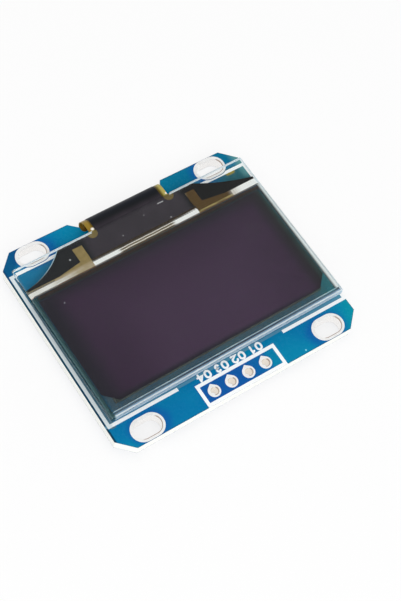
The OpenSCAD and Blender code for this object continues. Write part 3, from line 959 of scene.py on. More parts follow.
@dataclass(frozen=True)
class PolarizingFilm(Finish):
    """Neutral dark film: it lets a tinted share through, under a soft gloss."""

    name: str = "polarizing_film"
    tint: Colour = (0.74, 0.79, 0.79)
    passing: Colour = (0.92, 0.93, 0.93)
    body: Colour = (0.02, 0.02, 0.022)
    roughness: float = 0.1
    lifted: Patch = Patch((0.80, 0.86, 0.85), fades=((X, 16.35, 16.8),))
    lifted_body: float = 0.7
    dust: Patch = Patch((0.5, 0.5, 0.55), spots=((-14.1, 4.7, 0.09, 0.0),))
    body_shares: Span = (0.04, 0.44)
    smears: Noise = Noise(3.5, 3.0, span=(0.45, 0.8))
    smear_peak: float = 0.12

    def surface(self, g: Graph) -> Value:
        """A thin body over what passes; both faces of the film tint it.

        Args:
            g: the graph of the finish.

        Returns:
            The shader.
        """
        dusty, lifted_off = self.dust.share(g), self.lifted.share(g)
        body = g.coat(self.body, (dusty, self.dust.colour), (lifted_off, self.lifted.colour))
        share = dusty.between(*self.body_shares).most(lifted_off * self.lifted_body)
        film = g.mix(share, g.node("BsdfTransparent", Color=self.tint),
                     g.node("BsdfDiffuse", Color=body))
        rough = g.noise(self.smears) * self.smear_peak + self.roughness
        gloss = g.node("BsdfGlossy", Color=WHITE, Roughness=rough)
        seen = g.mix(g.node("Fresnel", IOR=1.4), film, gloss)
        return g.lit_through(seen, g.node("BsdfTransparent", Color=self.passing))


@dataclass(frozen=True)
class FrostedRim(Finish):
    """The cap glass's etched rim: a haze of streaks that grows to the right."""

    name: str = "frosted_rim"
    inner_left: Colour = (0.16, 0.42, 0.42)
    inner: Patch = Patch((0.42, 0.42, 0.37), fades=((X, -16.9, -16.0),))
    inner_right: Patch = Patch((0.20, 0.70, 0.58), fades=((X, 13.5, 16.0),))
    outer: Patch = Patch((0.42, 0.58, 0.78), fades=((PANEL_Y, -10.21, -10.51),))
    side: Patch = Patch((0.72, 0.85, 0.85), fades=((X, 16.6, 17.0),))
    haze: float = 0.22
    outer_haze: float = 0.5
    side_haze: float = 0.6
    left_from: Span = (-16.1, -16.6)
    left_haze: float = 0.4
    streaks: Noise = Noise(0.45, 3.0, (0.25, 1.0, 1.0))
    streak_factors: Span = (0.4, 1.6)

    def surface(self, g: Graph) -> Value:
        """Clear glass under a matt haze.

        Args:
            g: the graph of the finish.

        Returns:
            The shader.
        """
        colour = g.coat(self.inner_left, self.inner, self.inner_right, self.outer, self.side)
        share = self.outer.share(g).between(self.haze, self.outer_haze)
        share = share.most(self.side.share(g) * self.side_haze)
        left = g.axes[0].ramp(*self.left_from).between(1.0, self.left_haze)
        streak = g.noise(self.streaks).between(*self.streak_factors)
        return g.mix((share * left * streak).clamped(), SheetGlass().surface(g),
                     g.node("BsdfDiffuse", Color=colour))


@dataclass(frozen=True)
class SealResin(Finish):
    """Dark resin between the glasses: teal at the near side, brown at the far."""

    name: str = "seal_resin"
    dark: Colour = (0.040, 0.030, 0.038)
    teal: Colour = (0.085, 0.130, 0.165)
    teal_from: Span = (11.6, 13.2)
    corner_lean: float = 0.25
    # The far side; the outer strip of the near side, lighter blue-grey as painted
    # light; and the left side
    sides: tuple[Patch, ...] = (
        Patch((0.098, 0.034, 0.014), fades=((PANEL_Y, 6.9, 7.3),)),
        Patch((0.30, 0.48, 0.68), fades=((PANEL_Y, -10.46, -10.66),)),
        Patch((0.022, 0.085, 0.095), fades=((X, -16.2, -16.6),)))
    cloud: Colour = (0.02, 0.02, 0.025)
    clouds: Noise = Noise(1.2)
    cloud_share: float = 0.3

    def surface(self, g: Graph) -> Value:
        """The resin, whose run swells and thins a little.

        Args:
            g: the graph of the finish.

        Returns:
            The shader.
        """
        near = (abs(g.axes[0]) * self.corner_lean - g.axes[1]).ramp(*self.teal_from)
        cloud = g.noise(self.clouds)
        colour = g.coat(self.dark, (near, self.teal), *self.sides,
                        (cloud * self.cloud_share, self.cloud))
        return g.principled(Base_Color=colour, Roughness=0.4, Normal=g.bump(cloud, 0.02))


@dataclass(frozen=True)
class AmberFilm(Finish):
    """Amber polyimide film, clear enough to show what lies behind it.

    It is palest along its bond strip, browner in the right-hand window, and
    bright where its bare margins bend down through the notch.
    """

    name: str = "amber_film"
    tint: Colour = (0.80, 0.55, 0.10)
    left: Colour = (0.36, 0.265, 0.10)
    right: Colour = (0.105, 0.058, 0.013)
    right_from: Span = (-2.0, 7.0)
    wander: Noise = Noise(1.0)
    wander_reach: float = 2.0
    cloud: Colour = (0.04, 0.025, 0.01)
    cloud_share: float = 0.35
    clouds: Noise = Noise(0.6, 3.0, span=(0.3, 0.75))
    streaks: Noise = Noise(0.16, 2.0, (0.08, 1.0, 1.0), (0.4, 0.7))
    waves: Noise = Noise(0.7)
    body_shares: Span = (0.78, 0.90)
    # A painted highlight in the right-hand window, in the strip's colour
    pale: Spot = (7.2, 11.1, 0.5, 0.0)
    window_glint_share: float = 0.6
    strip: Colour = (0.55, 0.46, 0.32)
    strip_from: Span = (8.7, 8.2)
    strip_streaks: float = 0.6
    thread: Colour = (0.42, 0.33, 0.12)
    thread_to: float = 7.95
    fingers: Colour = (0.92, 0.91, 0.88)
    fingers_to: Span = (8.24, 8.54)
    inner_group: Span = (4.1, 7.85)
    right_group: Span = (12.55, 14.55)
    left_group: Span = (-9.5, -13.75)
    left_factors: Span = (1.0, 0.6)
    reach_from: Span = (6.0, 12.0)
    group_fade: float = 0.3
    gap: Colour = (0.05, 0.033, 0.018)
    gap_box: tuple[float, ...] = (-7.9, 7.9, 8.1, 9.0, 0.02)
    bond: Patch = Patch((0.74, 0.30, 0.11), fades=((PANEL_Y, 7.75, 7.5),))
    ear: Patch = Patch((0.19, 0.14, 0.05), 0.8, box=(-6.8, 6.8, 11.0, 12.6, 0.15))
    margin_from: Span = (11.9, 12.2)
    margin_left: Colour = (0.34, 0.22, 0.03)
    margin_right: Patch = Patch((0.56, 0.47, 0.12), fades=((X, -1.0, 1.0),))
    margin_dark: Colour = (0.055, 0.032, 0.002)
    margin_inner: Span = (5.55, 5.05)
    margin_peak: float = 0.92
    copper: Colour = (0.30, 0.14, 0.04)
    copper_pitch: float = 0.3
    copper_span: Span = (-0.2, 0.2)
    copper_below: Span = (0.9, 0.3)
    copper_peak: float = 0.7
    glint: Patch = Patch((0.95, 0.92, 0.82), spots=((-5.4, 12.45, 0.2, 0.02),
                                                    (5.75, 12.5, 0.16, 0.0)))

    def bonded_share(self, g: Graph, streak: Value) -> Value:
        """Where the leads on the glass show through the film's bond strip.

        Args:
            g: the graph of the finish.
            streak: streaks along the strip, which thin the left-hand group.

        Returns:
            The share.
        """
        x, level = g.axes[0], g.along(PANEL_Y)
        first, last = self.inner_group
        inner = abs(x).ramp(first - self.group_fade, first) * (abs(x) < last)
        left = x.ramp(*self.left_group) * streak.between(*self.left_factors)
        group = x.ramp(*self.right_group).most(left).most(inner)
        return group * (level < x.ramp(*self.reach_from).between(*self.fingers_to))

    def colour(self, g: Graph, cloud: Value, bonded: Value, streak: Value) -> Value:
        """The colour of the film's body.

        Args:
            g: the graph of the finish.
            cloud: its slow changes of shade.
            bonded: where the leads show through.
            streak: streaks along the bond strip.

        Returns:
            The colour.
        """
        x, _, z = g.axes
        level = g.along(PANEL_Y)
        side = (g.noise(self.wander) * self.wander_reach + x).ramp(*self.right_from)
        strip = level.ramp(*self.strip_from) * (1.0 - side)
        thread = (level < self.thread_to) * side * (1.0 - streak)
        gap = g.box(*self.gap_box) * (level > self.fingers_to[0])
        inward = abs(x).ramp(*self.margin_inner) * self.margin_peak
        margin = g.coat(self.margin_left, self.margin_right, (inward, self.margin_dark))
        traces = g.waves(x, self.copper_pitch).ramp(*self.copper_span)
        traces = traces * z.ramp(*self.copper_below) * self.copper_peak
        return g.coat(self.left, (side, self.right), (cloud * self.cloud_share, self.cloud),
                      (g.spots([self.pale]) * side * self.window_glint_share, self.strip),
                      (strip, g.coat(self.strip, (streak * self.strip_streaks, self.left))),
                      (thread, self.thread), (gap, self.gap), (bonded, self.fingers),
                      self.bond, self.ear, (level.ramp(*self.margin_from), margin),
                      (traces, self.copper), self.glint)

    def surface(self, g: Graph) -> Value:
        """A clear share and a body, with a gloss on top.

        Args:
            g: the graph of the finish.

        Returns:
            The shader.
        """
        cloud, streak = g.noise(self.clouds), g.noise(self.streaks)
        bonded = self.bonded_share(g, streak)
        share = cloud.between(*self.body_shares).most(self.glint.share(g)).most(bonded)
        body = g.node("BsdfDiffuse", Color=self.colour(g, cloud, bonded, streak))
        film = g.mix(share, g.node("BsdfTransparent", Color=self.tint), body)
        normal = g.bump(g.noise(self.waves), 0.02)
        gloss = g.node("BsdfGlossy", Color=WHITE, Roughness=0.15, Normal=normal)
        return g.mix(g.node("Fresnel", IOR=1.35, Normal=normal), film, gloss)


@dataclass(frozen=True)
class EmitterStack(Finish):
    """The dark light-emitting layer: a purple field in a greyer frame.

    The field fades into its frame, slowly at the left and the far side and
    faster at the right and the near side, and is darker away from its middle.
    """

    name: str = "emitter_stack"
    purple: Colour = (0.130, 0.060, 0.124)
    purple_dark: Colour = (0.088, 0.038, 0.084)
    frame_left: Colour = (0.044, 0.030, 0.048)
    frame_right: Patch = Patch((0.050, 0.034, 0.044), fades=((X, 11.0, 14.0),))
    frame_teal: Patch = Patch((0.060, 0.085, 0.080), fades=((X, 15.7, 16.4),))
    field_x: tuple[Span, Span] = ((-16.0, -12.8), (15.9, 13.8))
    field_y: tuple[Span, Span] = ((-9.25, -8.5), (7.2, 4.6))
    middle_x: float = 1.0
    outward_x: Span = (5.0, 14.0)
    outward_y: Span = (-2.0, 6.5)
    outward_far: float = 1.2
    tones: Span = (0.9, 0.15)
    clouds: Noise = Noise(9.0)
    cloud_tones: Span = (-0.15, 0.15)
    column_pitch: float = 0.46
    column_tone: float = 0.03

    def surface(self, g: Graph) -> Value:
        """The field's columns and clouds inside the frame.

        Args:
            g: the graph of the finish.

        Returns:
            The shader.
        """
        x, y, _ = g.axes
        (left, right), (near, far) = self.field_x, self.field_y
        inside = x.ramp(*left) * x.ramp(*right) * (y.ramp(*near) * y.ramp(*far))
        outward = abs(x - self.middle_x).ramp(*self.outward_x)
        outward = outward.most(y.ramp(*self.outward_y) * self.outward_far)
        tone = outward.between(*self.tones) + g.noise(self.clouds).between(*self.cloud_tones)
        tone = (tone + g.waves(x, self.column_pitch) * self.column_tone).clamped()
        field = g.coat(self.purple_dark, (tone, self.purple))
        colour = g.coat(self.frame_left, self.frame_right, self.frame_teal, (inside, field))
        return g.principled(Base_Color=colour, Roughness=0.45, IOR=1.15)


@dataclass(frozen=True)
class HollowEdge:
    """The left wing's hollow far edge: an arc from its tip to its root."""

    panel: PanelFrame = PanelFrame()
    tip: Span = (-17.1, 8.35)
    root: Span = (-10.9, 11.4)
    sag: float = 0.6

    def distance(self, g: Graph) -> Value:
        """Distance from the edge into the wing, in millimetres.

        Formula: the arc over a chord of length c with sag s has the radius
        (c c / 4 + s s) / 2 s, and its centre stands on the chord's middle
        normal, the radius less the sag away from it, outside the wing.

        Args:
            g: the graph of the finish that asks.

        Returns:
            The distance.
        """
        tip, root = np.array(self.tip), np.array(self.root)
        along = root - tip
        chord = float(np.linalg.norm(along))
        radius = (chord ** 2 / 4 + self.sag ** 2) / (2 * self.sag)
        normal = np.array([-along[1], along[0]]) / chord
        flat = (tip + root) / 2 + normal * (radius - self.sag)
        centre = self.panel.place(flat, "front_glass")
        return (g.axes[0] - centre[0]).hypotenuse(g.axes[1] - centre[1]) - radius


@dataclass(frozen=True)
class CoverCoat(Finish):
    """The film's black cover: satin, with a fine grain and specks of dust.

    It is a little greyer over the driver chip.
    """

    name: str = "cover_coat"
    black: Colour = (0.011, 0.0125, 0.0145)
    black_right: Patch = Patch((0.002, 0.0025, 0.003), fades=((X, 6.5, 8.5),))
    worn: Colour = (0.040, 0.032, 0.042)
    worn_reach: tuple[float, ...] = (-6.8, 6.8, -3.0, 2.4)
    worn_soft: float = 1.0
    worn_shares: Span = (0.7, 1.0)
    # Painted shade where the cover bends down over the fold
    fold_shade: Patch = Patch((0.004, 0.006, 0.014), fades=((Y, 12.9, 14.2),))
    # A painted highlight along the left wing's hollow edge
    wing_edge_highlight: Colour = (0.38, 0.55, 0.64)
    wing_edge_highlight_border: Span = (0.11, 0.066)
    wing_edge_highlight_fades: tuple[Span, Span] = ((-16.8, -11.5), (-10.8, -11.0))
    clouds: Noise = Noise(1.8, 3.0, span=(0.3, 0.8))
    waves: Noise = Noise(2.2, 1.0)
    grain: Noise = Noise(0.1, 3.0)
    dust: Patch = Patch((0.55, 0.55, 0.56), 0.7, spots=(
        (-10.26, 9.81, 0.11, 0.0), (-2.62, 9.6, 0.07, 0.0), (4.22, 8.97, 0.09, 0.0),
        (4.17, 11.5, 0.07, 0.38), (-8.1, 9.0, 0.05, 0.0), (1.3, 10.9, 0.05, 0.0)))

    def surface(self, g: Graph) -> Value:
        """The worn coat, with a painted highlight along the left wing's hollow edge.

        Args:
            g: the graph of the finish.

        Returns:
            The shader.
        """
        x = g.axes[0]
        chip = np.repeat(middle("driver_chip")[:2], 2) + self.worn_reach
        cloud = g.noise(self.clouds)
        worn = g.box(*chip, self.worn_soft) * cloud.between(*self.worn_shares)
        edge = HollowEdge().distance(g).ramp(*self.wing_edge_highlight_border)
        for fade in self.wing_edge_highlight_fades:
            edge = edge * x.ramp(*fade)
        colour = g.coat(self.black, self.black_right, (worn, self.worn), self.fold_shade,
                        (edge, self.wing_edge_highlight), self.dust)
        wave = g.bump(g.noise(self.waves), 0.02)
        return g.principled(Base_Color=colour, Roughness=cloud.between(0.36, 0.48), IOR=1.25,
                            Normal=g.bump(g.noise(self.grain), 0.002, Normal=wave))


@dataclass(frozen=True)
class LeadMetal(Finish):
    """Bright leads on the glass; the middle ones carry gold and dark streaks."""

    name: str = "lead_metal"
    bright: Colour = (0.98, 0.975, 0.96)
    gold: Colour = (0.36, 0.29, 0.17)
    dark: Colour = (0.045, 0.035, 0.025)
    faded: Colour = (0.50, 0.42, 0.30)
    worn: Patch = Patch((0.50, 0.42, 0.30), 0.25, ((X, -13.0, -15.4),))
    # Painted shade with a browner tone at the leads' near end, under the polarizer
    near: Patch = Patch((0.55, 0.16, 0.03), 0.85, ((PANEL_Y, 7.68, 7.36),))
    # Painted shade at the leads' far end
    far: Patch = Patch((0.045, 0.035, 0.025), 0.9, ((PANEL_Y, 8.2, 8.32), (X, 9.0, 5.0)))
    middle: Span = (4.5, 3.7)
    outer: Span = (15.0, 12.4)
    outer_from: float = 12.0
    outer_peak: float = 0.75
    streak_pitch: float = 0.34
    streak_phase: float = 1.2
    streak_noise: Noise = Noise(1.6, 2.0, (1.0, 0.2, 1.0))
    streak_wander: Span = (-0.08, 0.08)
    gold_span: Span = (-0.75, -0.15)
    bright_span: Span = (0.45, 0.9)
    gloss: Noise = Noise(0.3)
    grain: Noise = Noise(0.15)

    def surface(self, g: Graph) -> Value:
        """Streaks that run along the row of leads, between its worn ends.

        Args:
            g: the graph of the finish.

        Returns:
            The shader.
        """
        off = abs(g.axes[0])
        wander = g.noise(self.streak_noise).between(*self.streak_wander)
        lines = g.waves(g.along(PANEL_Y) + wander, self.streak_pitch, self.streak_phase)
        striped = g.coat(self.dark, (lines.ramp(*self.gold_span), self.gold),
                         (lines.ramp(*self.bright_span), self.bright))
        fading = off.ramp(*self.outer) * (off > self.outer_from) * self.outer_peak
        colour = g.coat(self.bright, (off.ramp(*self.middle), striped), (fading, self.faded),
                        self.worn, self.near, self.far)
        return g.principled(Base_Color=colour, Metallic=0.05, IOR=1.3,
                            Roughness=g.noise(self.gloss).between(0.25, 0.45),
                            Normal=g.bump(g.noise(self.grain), 0.004))


@dataclass(frozen=True)
class HolePlating(Finish):
    """Tinned holes: matt rings round them and smooth walls that mirror the floor.

    The round holes' walls are creamier, and a thin brown line of painted
    shade marks the near rim of every hole.
    """

    name: str = "hole_plating"
    ring: Colour = (0.98, 0.98, 0.97)
    ring_shade: Colour = (0.90, 0.89, 0.87)
    wall: Colour = (0.99, 0.97, 0.95)
    cream: Colour = (0.97, 0.88, 0.76)
    # Brown painted shade along the near rim of each hole
    near_rim_shade: Colour = (0.34, 0.22, 0.15)
    round_half: float = 5.2
    slot_straight: float = 0.65
    slot_radius: float = 1.2
    pin_radius: float = 0.5
    pin_row: float = 13.65
    near_rim_shade_border: Span = (0.12, 0.072)
    near_rim_shade_side: tuple[float, float] = (0.8, -0.6)
    near_rim_shade_turn: Span = (0.0, 0.4)
    near_rim_shade_t: float = 0.1
    near_rim_shade_share: float = 0.8
    waves: Noise = Noise(0.6, 1.0)
    rim_t: float = 0.04

    def near_line(self, g: Graph) -> Value:
        """A thin line of painted shade along the right and near rim of each hole.

        The place of a point is taken from the middle line of its own slot, or
        from the middle of its own round hole, whichever it belongs to.

        Args:
            g: the graph of the finish.

        Returns:
            The share.
        """
        x, y, _ = g.axes
        small = abs(x) < self.round_half
        slot = middle("slot_plating_4")
        first, second = middles("header_eyelet", 2)
        pitch = second - first
        in_slot = x - x.sign() * slot[0]
        in_slot = in_slot - in_slot.least(self.slot_straight).most(-self.slot_straight)
        in_pin = (x - first) - ((x - first) / pitch).whole() * pitch
        dx = small.between(in_slot, in_pin)
        dy = y - y.sign() * small.between(slot[1], self.pin_row)
        away = dx.hypotenuse(dy)
        aim = (dx * self.near_rim_shade_side[0] + dy * self.near_rim_shade_side[1]) / away.most(0.01)
        from_wall = away - small.between(self.slot_radius, self.pin_radius)
        return from_wall.ramp(*self.near_rim_shade_border) * aim.ramp(*self.near_rim_shade_turn)

    def surface(self, g: Graph) -> Value:
        """Rings and walls; the wall lies between the board's two faces.

        Args:
            g: the graph of the finish.

        Returns:
            The shader.
        """
        x, _, z = g.axes
        top = high("circuit_board")[2]
        wall = z.ramp(0.0, self.rim_t) * z.ramp(top, top - self.rim_t)
        walls = g.coat(self.wall, (abs(x) < self.round_half, self.cream))
        near_rim_shade = self.near_line(g) * (z > top - self.near_rim_shade_t) * self.near_rim_shade_share
        colour = g.coat(self.ring, (g.noise(CLOUDS), self.ring_shade), (wall, walls),
                        (near_rim_shade, self.near_rim_shade))
        dimples = g.bump(g.noise(DIMPLES), 0.003)
        return g.principled(Base_Color=colour, Metallic=wall.between(0.1, 0.9),
                            Roughness=wall.between(0.3, 0.18),
                            Normal=g.bump(g.noise(self.waves), 0.01, Normal=dimples))


FINISHES: dict[Slot, Finish] = {
    Slot.BOARD: SolderMask(),
    Slot.PRINT: ScreenPrint(),
    Slot.PLATING: HolePlating(),
    Slot.FOAM: Moulding("foam_tape", (0.06, 0.065, 0.07), (0.035, 0.037, 0.04), 0.9,
                        Noise(0.15, 3.0), 0.03),
    Slot.GLASS: SheetGlass(),
    Slot.DRYER: Moulding("drying_sheet", (0.84, 0.81, 0.74), (0.7, 0.66, 0.58), 0.85),
    Slot.SEAL: SealResin(),
    Slot.EMITTER: EmitterStack(),
    Slot.LEADS: LeadMetal(),
    Slot.POLARIZER: PolarizingFilm(),
    Slot.FILM: AmberFilm(),
    Slot.FILM_COVER: CoverCoat(),
    Slot.CHIP: Moulding("silicon", (0.06, 0.065, 0.08), (0.1, 0.1, 0.115), 0.25,
                        Noise(0.05, 3.0), 0.001),
    Slot.RESIN: Moulding("chip_resin", (0.015, 0.015, 0.016), (0.03, 0.03, 0.032), 0.3),
    Slot.COPPER: Metal("bare_copper", (0.84, 0.50, 0.28), (0.66, 0.36, 0.18), 0.3),
    Slot.TIN: Metal("tinned_copper", (0.88, 0.88, 0.86), (0.72, 0.72, 0.71), 0.3),
    Slot.SOLDER: Metal("solder", (0.84, 0.85, 0.86), (0.66, 0.67, 0.69), 0.22, 0.002,
                       Noise(0.3, 1.0), 0.02),
    Slot.CAPACITOR: Moulding("capacitor_ceramic", (0.50, 0.36, 0.21), (0.36, 0.25, 0.14), 0.45),
    Slot.RESISTOR: Moulding("resistor_glaze", (0.018, 0.018, 0.021), (0.04, 0.04, 0.044), 0.28),
    Slot.CASE: Moulding("moulded_resin", (0.022, 0.022, 0.024), (0.04, 0.04, 0.042), 0.55),
}


class Finishes:
    """Builds each slot's material once and dresses the CAD nodes with them."""

    def __init__(self) -> None:
        """Starts with no material built."""
        self._made: dict[Slot, bpy.types.Material] = {}

    def get(self, slot: Slot) -> bpy.types.Material:
        """The material of a slot, built when it is first asked for.

        Args:
            slot: the slot.

        Returns:
            Its material.
        """
        if slot not in self._made:
            self._made[slot] = FINISHES[slot].material()
        return self._made[slot]

    def dress(self, record: dict, nodes: dict[str, bpy.types.Object]) -> None:
        """Gives every CAD node the material of its slot in the record.

        Args:
            record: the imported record.
            nodes: the CAD nodes by name.
        """
        for part in record["subparts"]:
            mesh = nodes[part["node"]].data
            mesh.materials.clear()
            mesh.materials.append(self.get(Slot(part["material_slot"])))
            LOG.info("%s: %s", part["node"], part["material_slot"])


# ---- The display panel ------------------------------------------------------


@dataclass
class GlassPanel:
    """Both glasses and the polarizer, with their scribed and worn edges."""

    panel: PanelFrame
    finishes: Finishes
    scribe: float = 0.12
    chip: float = 0.06
    air: float = 0.002
    corner: float = 0.08
    pitch: int = 90
    pocket_depth: float = 0.22
    pocket_rim: float = 2.2
    pocket_slope: float = 0.1
    bevel: tuple[Span, ...] = ((0.01, 0.0), (0.0, 0.2), (0.0, 0.6), (0.01, 0.85), (0.035, 1.0))
    line: CutEdge = CutEdge("scribed_line", (0.93, 0.985, 1.0), 0.8, 1.0)
    side: CutEdge = CutEdge("broken_side", (0.66, 0.86, 0.97), 0.35, 0.9)
    film_edge: CutEdge = CutEdge("cut_film_edge", (0.74, 0.92, 0.97), 0.4, 0.85, left_share=0.04,
                                 far_share=0.1, core=(0.03, 0.045, 0.05))

    def glass(self, node: str, edges: Sequence[bpy.types.Material], pocket: Sequence[Span],
              bands: Sequence[int]) -> None:
        """A glass with small chipped chamfers along its sides.

        Args:
            node: the CAD node that it replaces.
            edges: finishes of the chamfers, the sides and what else it needs.
            pocket: further profile points, as inset and depth below the top.
            bands: finish numbers of the bands past the upper chamfer.
        """
        z0, z1 = low(node)[2] + self.air, high(node)[2] - self.air
        c, chip = self.scribe, self.chip
        profile = [(c, z0), (0.0, z0 + c), (0.0, z1 - c), (c, z1)]
        profile += [(inset, z1 - depth) for inset, depth in pocket]
        chips = (chip, 0.0, 0.0, chip, *[0.0] * len(pocket))
        shape = slab(self.panel.half(node) - self.air, profile, self.corner, (1, 2, 1, *bands),
                     self.pitch, chips)
        self.lay(shape, node, f"{node}_sheet", Slot.GLASS, edges)

    def polarizer(self) -> None:
        """Polarizing film: a thin plate with a softened upper edge."""
        z0, z1 = low("polarizer")[2] + self.air, high("polarizer")[2]
        profile = [(inset, z0 + share * (z1 - z0)) for inset, share in self.bevel]
        shape = slab(self.panel.half("polarizer"), profile, self.corner, (1,) * 4, 1, (0.0,) * 5)
        self.lay(shape, "polarizer", "polarizer_film", Slot.POLARIZER, [self.film_edge.material()])

    def lay(self, shape: Shape, node: str, name: str, slot: Slot,
            edges: Sequence[bpy.types.Material]) -> None:
        """Turns a plate with the panel and builds it in the place of its node.

        Args:
            shape: the plate, square and about its own middle.
            node: the CAD node that it replaces.
            name: the piece's name.
            slot: its material slot, which also names its main finish.
            edges: the finishes after that one.
        """
        shape.points[:, :2] = self.panel.place(shape.points[:, :2], node)
        build(name, shape, [self.finishes.get(slot), *edges], [node])

    def make(self) -> None:
        """Builds the two glasses and the polarizer."""
        edges = [self.line.material(), self.side.material()]
        rim = self.pocket_rim
        pocket = [(rim, 0.0), (rim + self.pocket_slope, self.pocket_depth)]
        self.glass("cap_glass", [*edges, FrostedRim().material()], pocket, (3, 0))
        self.glass("front_glass", edges, (), ())
        self.polarizer()


# ---- Copper under the mask --------------------------------------------------


@dataclass
class BackTraces:
    """Copper traces and covered vias that stand up a little under the mask."""

    skin: Moulding = Moulding("mask_over_traces", (0.012, 0.275, 0.50), (0.004, 0.22, 0.43), 0.32)
    width: float = 0.2
    wide: float = 0.5
    floor: float = -0.025
    root: float = 0.002
    via_r: float = 0.32
    via_hole_r: float = 0.14
    via_steps: int = 16
    overlap: float = 0.1
    fan_from: float = 8.5
    fan_to: float = 7.2
    fan_end: float = 0.75
    via_row: float = 3.2
    pin_bend: float = 1.0
    pin_end: float = 0.6
    feed_shift: float = 0.95
    supply_bends: Span = (-11.6, -9.0)
    output_bends: tuple[float, ...] = (2.9, 3.5, 4.3)
    link: tuple[float, ...] = (0.3, 0.9, 1.15)
    # Vias beside each capacitor's trace, in thirds of the capacitors' pitch
    beside: tuple[tuple[float, ...], ...] = ((1.5,), (1, 2), (1, 2), (1, 2), (1.5,), (), ())

    def line(self, points: Sequence[Span], width: float) -> Shape:
        """One trace through the points, on the board's back."""
        return ribbon(np.array(points, float), width, self.floor, self.root)

    def via(self, x: float, y: float) -> Shape:
        """One covered via: a low ring.

        Formula: a closed line's corners stand out by one over the cosine of
        half a step, so its width is less by that much.

        Args:
            x: middle of the via.
            y: middle of the via.

        Returns:
            The ring.
        """
        path = arc((x, y), (self.via_r + self.via_hole_r) / 2, 0, 360, self.via_steps + 1)[:-1]
        width = (self.via_r - self.via_hole_r) * math.cos(math.pi / self.via_steps)
        return ribbon(path, width, self.floor, self.root, closed=True)

    def fan(self) -> list[Shape]:
        """Traces that spread from the tail's lands to capacitors and vias.

        The lands and the targets both run from left to right, so no two of
        the straight slanted stretches cross.

        Returns:
            The traces, and a via at the end of those that reach no capacitor.
        """
        near, far, back = low("tail_lands"), high("tail_lands"), high("capacitor_1")[1]
        caps = middles("capacitor", 7)
        third = (caps[1] - caps[0]) / 3
        targets = [(cap + step * third, not step) for cap, steps in zip(caps, self.beside)
                   for step in (0, *steps)]
        lands = np.linspace(near[0] + self.width, far[0] - self.width, len(targets))
        shapes = []
        for land, (target, to_cap) in zip(lands, targets):
            end = back + self.fan_end if to_cap else self.via_row
            shapes.append(self.line([(land, near[1] + self.overlap), (land, self.fan_from),
                                     (target, self.fan_to), (target, end)], self.width))
            if not to_cap:
                shapes.append(self.via(target, self.via_row - self.via_r))
        return shapes

    def header(self) -> list[Shape]:
        """Traces from the header's holes to the resistors and the regulator.

        Returns:
            Two thin signal traces, and the wide ones to and from the regulator.
        """
        pins = middles("header_eyelet", 4)
        start = high("header_eyelet_1")[1] - 2 * self.overlap
        end = low("resistor_1")[1] - self.pin_end
        shapes = []
        for pin, x in zip(pins, middles("resistor", 2)):
            turn = end - self.pin_bend
            shapes.append(self.line([(pin, start), (pin, turn - abs(pin - x)), (x, turn), (x, end)],
                                    self.width))
        out, legs = middle("regulator_case")[0], (low("regulator_legs"), high("regulator_legs"))
        feed, (first, second) = out - self.feed_shift, self.supply_bends
        supply = [(pins[3], start), (pins[3], first), (feed, second),
                  (feed, legs[0][1] - self.overlap)]
        cap, (first, second, last) = middle("capacitor_7")[0], self.output_bends
        output = [(out, legs[1][1] + self.overlap), (out, first), (cap, second), (cap, last)]
        return shapes + [self.line(points, self.wide) for points in (supply, output)]

    def links(self) -> list[Shape]:
        """Short traces from the resistors' far ends up to a via each.

        Returns:
            The traces and the vias.
        """
        shapes = []
        start, end, hole = self.link
        for i, x in enumerate(middles("resistor", 8), 1):
            far = high(f"resistor_{i}")[1]
            shapes += [self.line([(x, far + start), (x, far + end)], self.width),
                       self.via(x, far + hole)]
        return shapes

    def make(self) -> None:
        """Builds all the traces and vias as one piece."""
        shape = join(self.fan() + self.header() + self.links())
        build("back_traces", shape, [self.skin.material()])


# ---- Lettering --------------------------------------------------------------


@dataclass
class PinNumbers:
    """Plain pin numbers 01 to 04, printed beside the header's box.

    They stand upside down for someone at the header edge, as they are read
    from the display's far side.
    """

    finishes: Finishes
    height: float = 0.9
    width: float = 0.66
    line: float = 0.27
    gap: float = 0.38
    step: float = 0.004
    row_y: float = -11.36

    def strokes(self, digit: str) -> list[np.ndarray]:
        """The strokes of one digit, in a box of the digit's width and height.

        Args:
            digit: one of the digits 0 to 4.

        Returns:
            Paths about the middle of the digit; that of 0 is a closed loop.
        """
        w, h = self.width / 2, self.height / 2
        rows = {
            "0": [[*arc((0, h - w), w, 0, 180), *arc((0, w - h), w, 180, 360)]],
            "1": [[(-w * 0.6, h * 0.6), (0.05, h), (0.05, -h)]],
            "2": [[*arc((0, h - w), w, 170, -35), (-w, -h), (w, -h)]],
            "3": [[*arc((0, h / 2), h / 2, 150, -90), *arc((0, -h / 2), h / 2, 90, -150)[1:]]],
            "4": [[(w * 0.45, h), (-w, -h * 0.3), (w * 1.1, -h * 0.3)],
                  [(w * 0.45, h * 0.8), (w * 0.45, -h)]]}
        return [np.array(path) for path in rows[digit]]

    def make(self) -> None:
        """Builds the four numbers as one raised print."""
        floor, top = low("front_print")[2], high("front_print")[2]
        pieces = []
        for number, x in enumerate(reversed(middles("header_eyelet", 4)), 1):
            for place, digit in zip((-1, 1), f"0{number}"):
                shift = place * (self.width + self.gap) / 2
                for layer, path in enumerate(self.strokes(digit)):
                    moved = [x - shift, self.row_y] - path
                    pieces.append(ribbon(moved, self.line, floor, top - layer * self.step,
                                         digit == "0"))
        build("pin_numbers", join(pieces), [self.finishes.get(Slot.PRINT)])


# ---- Stage ------------------------------------------------------------------


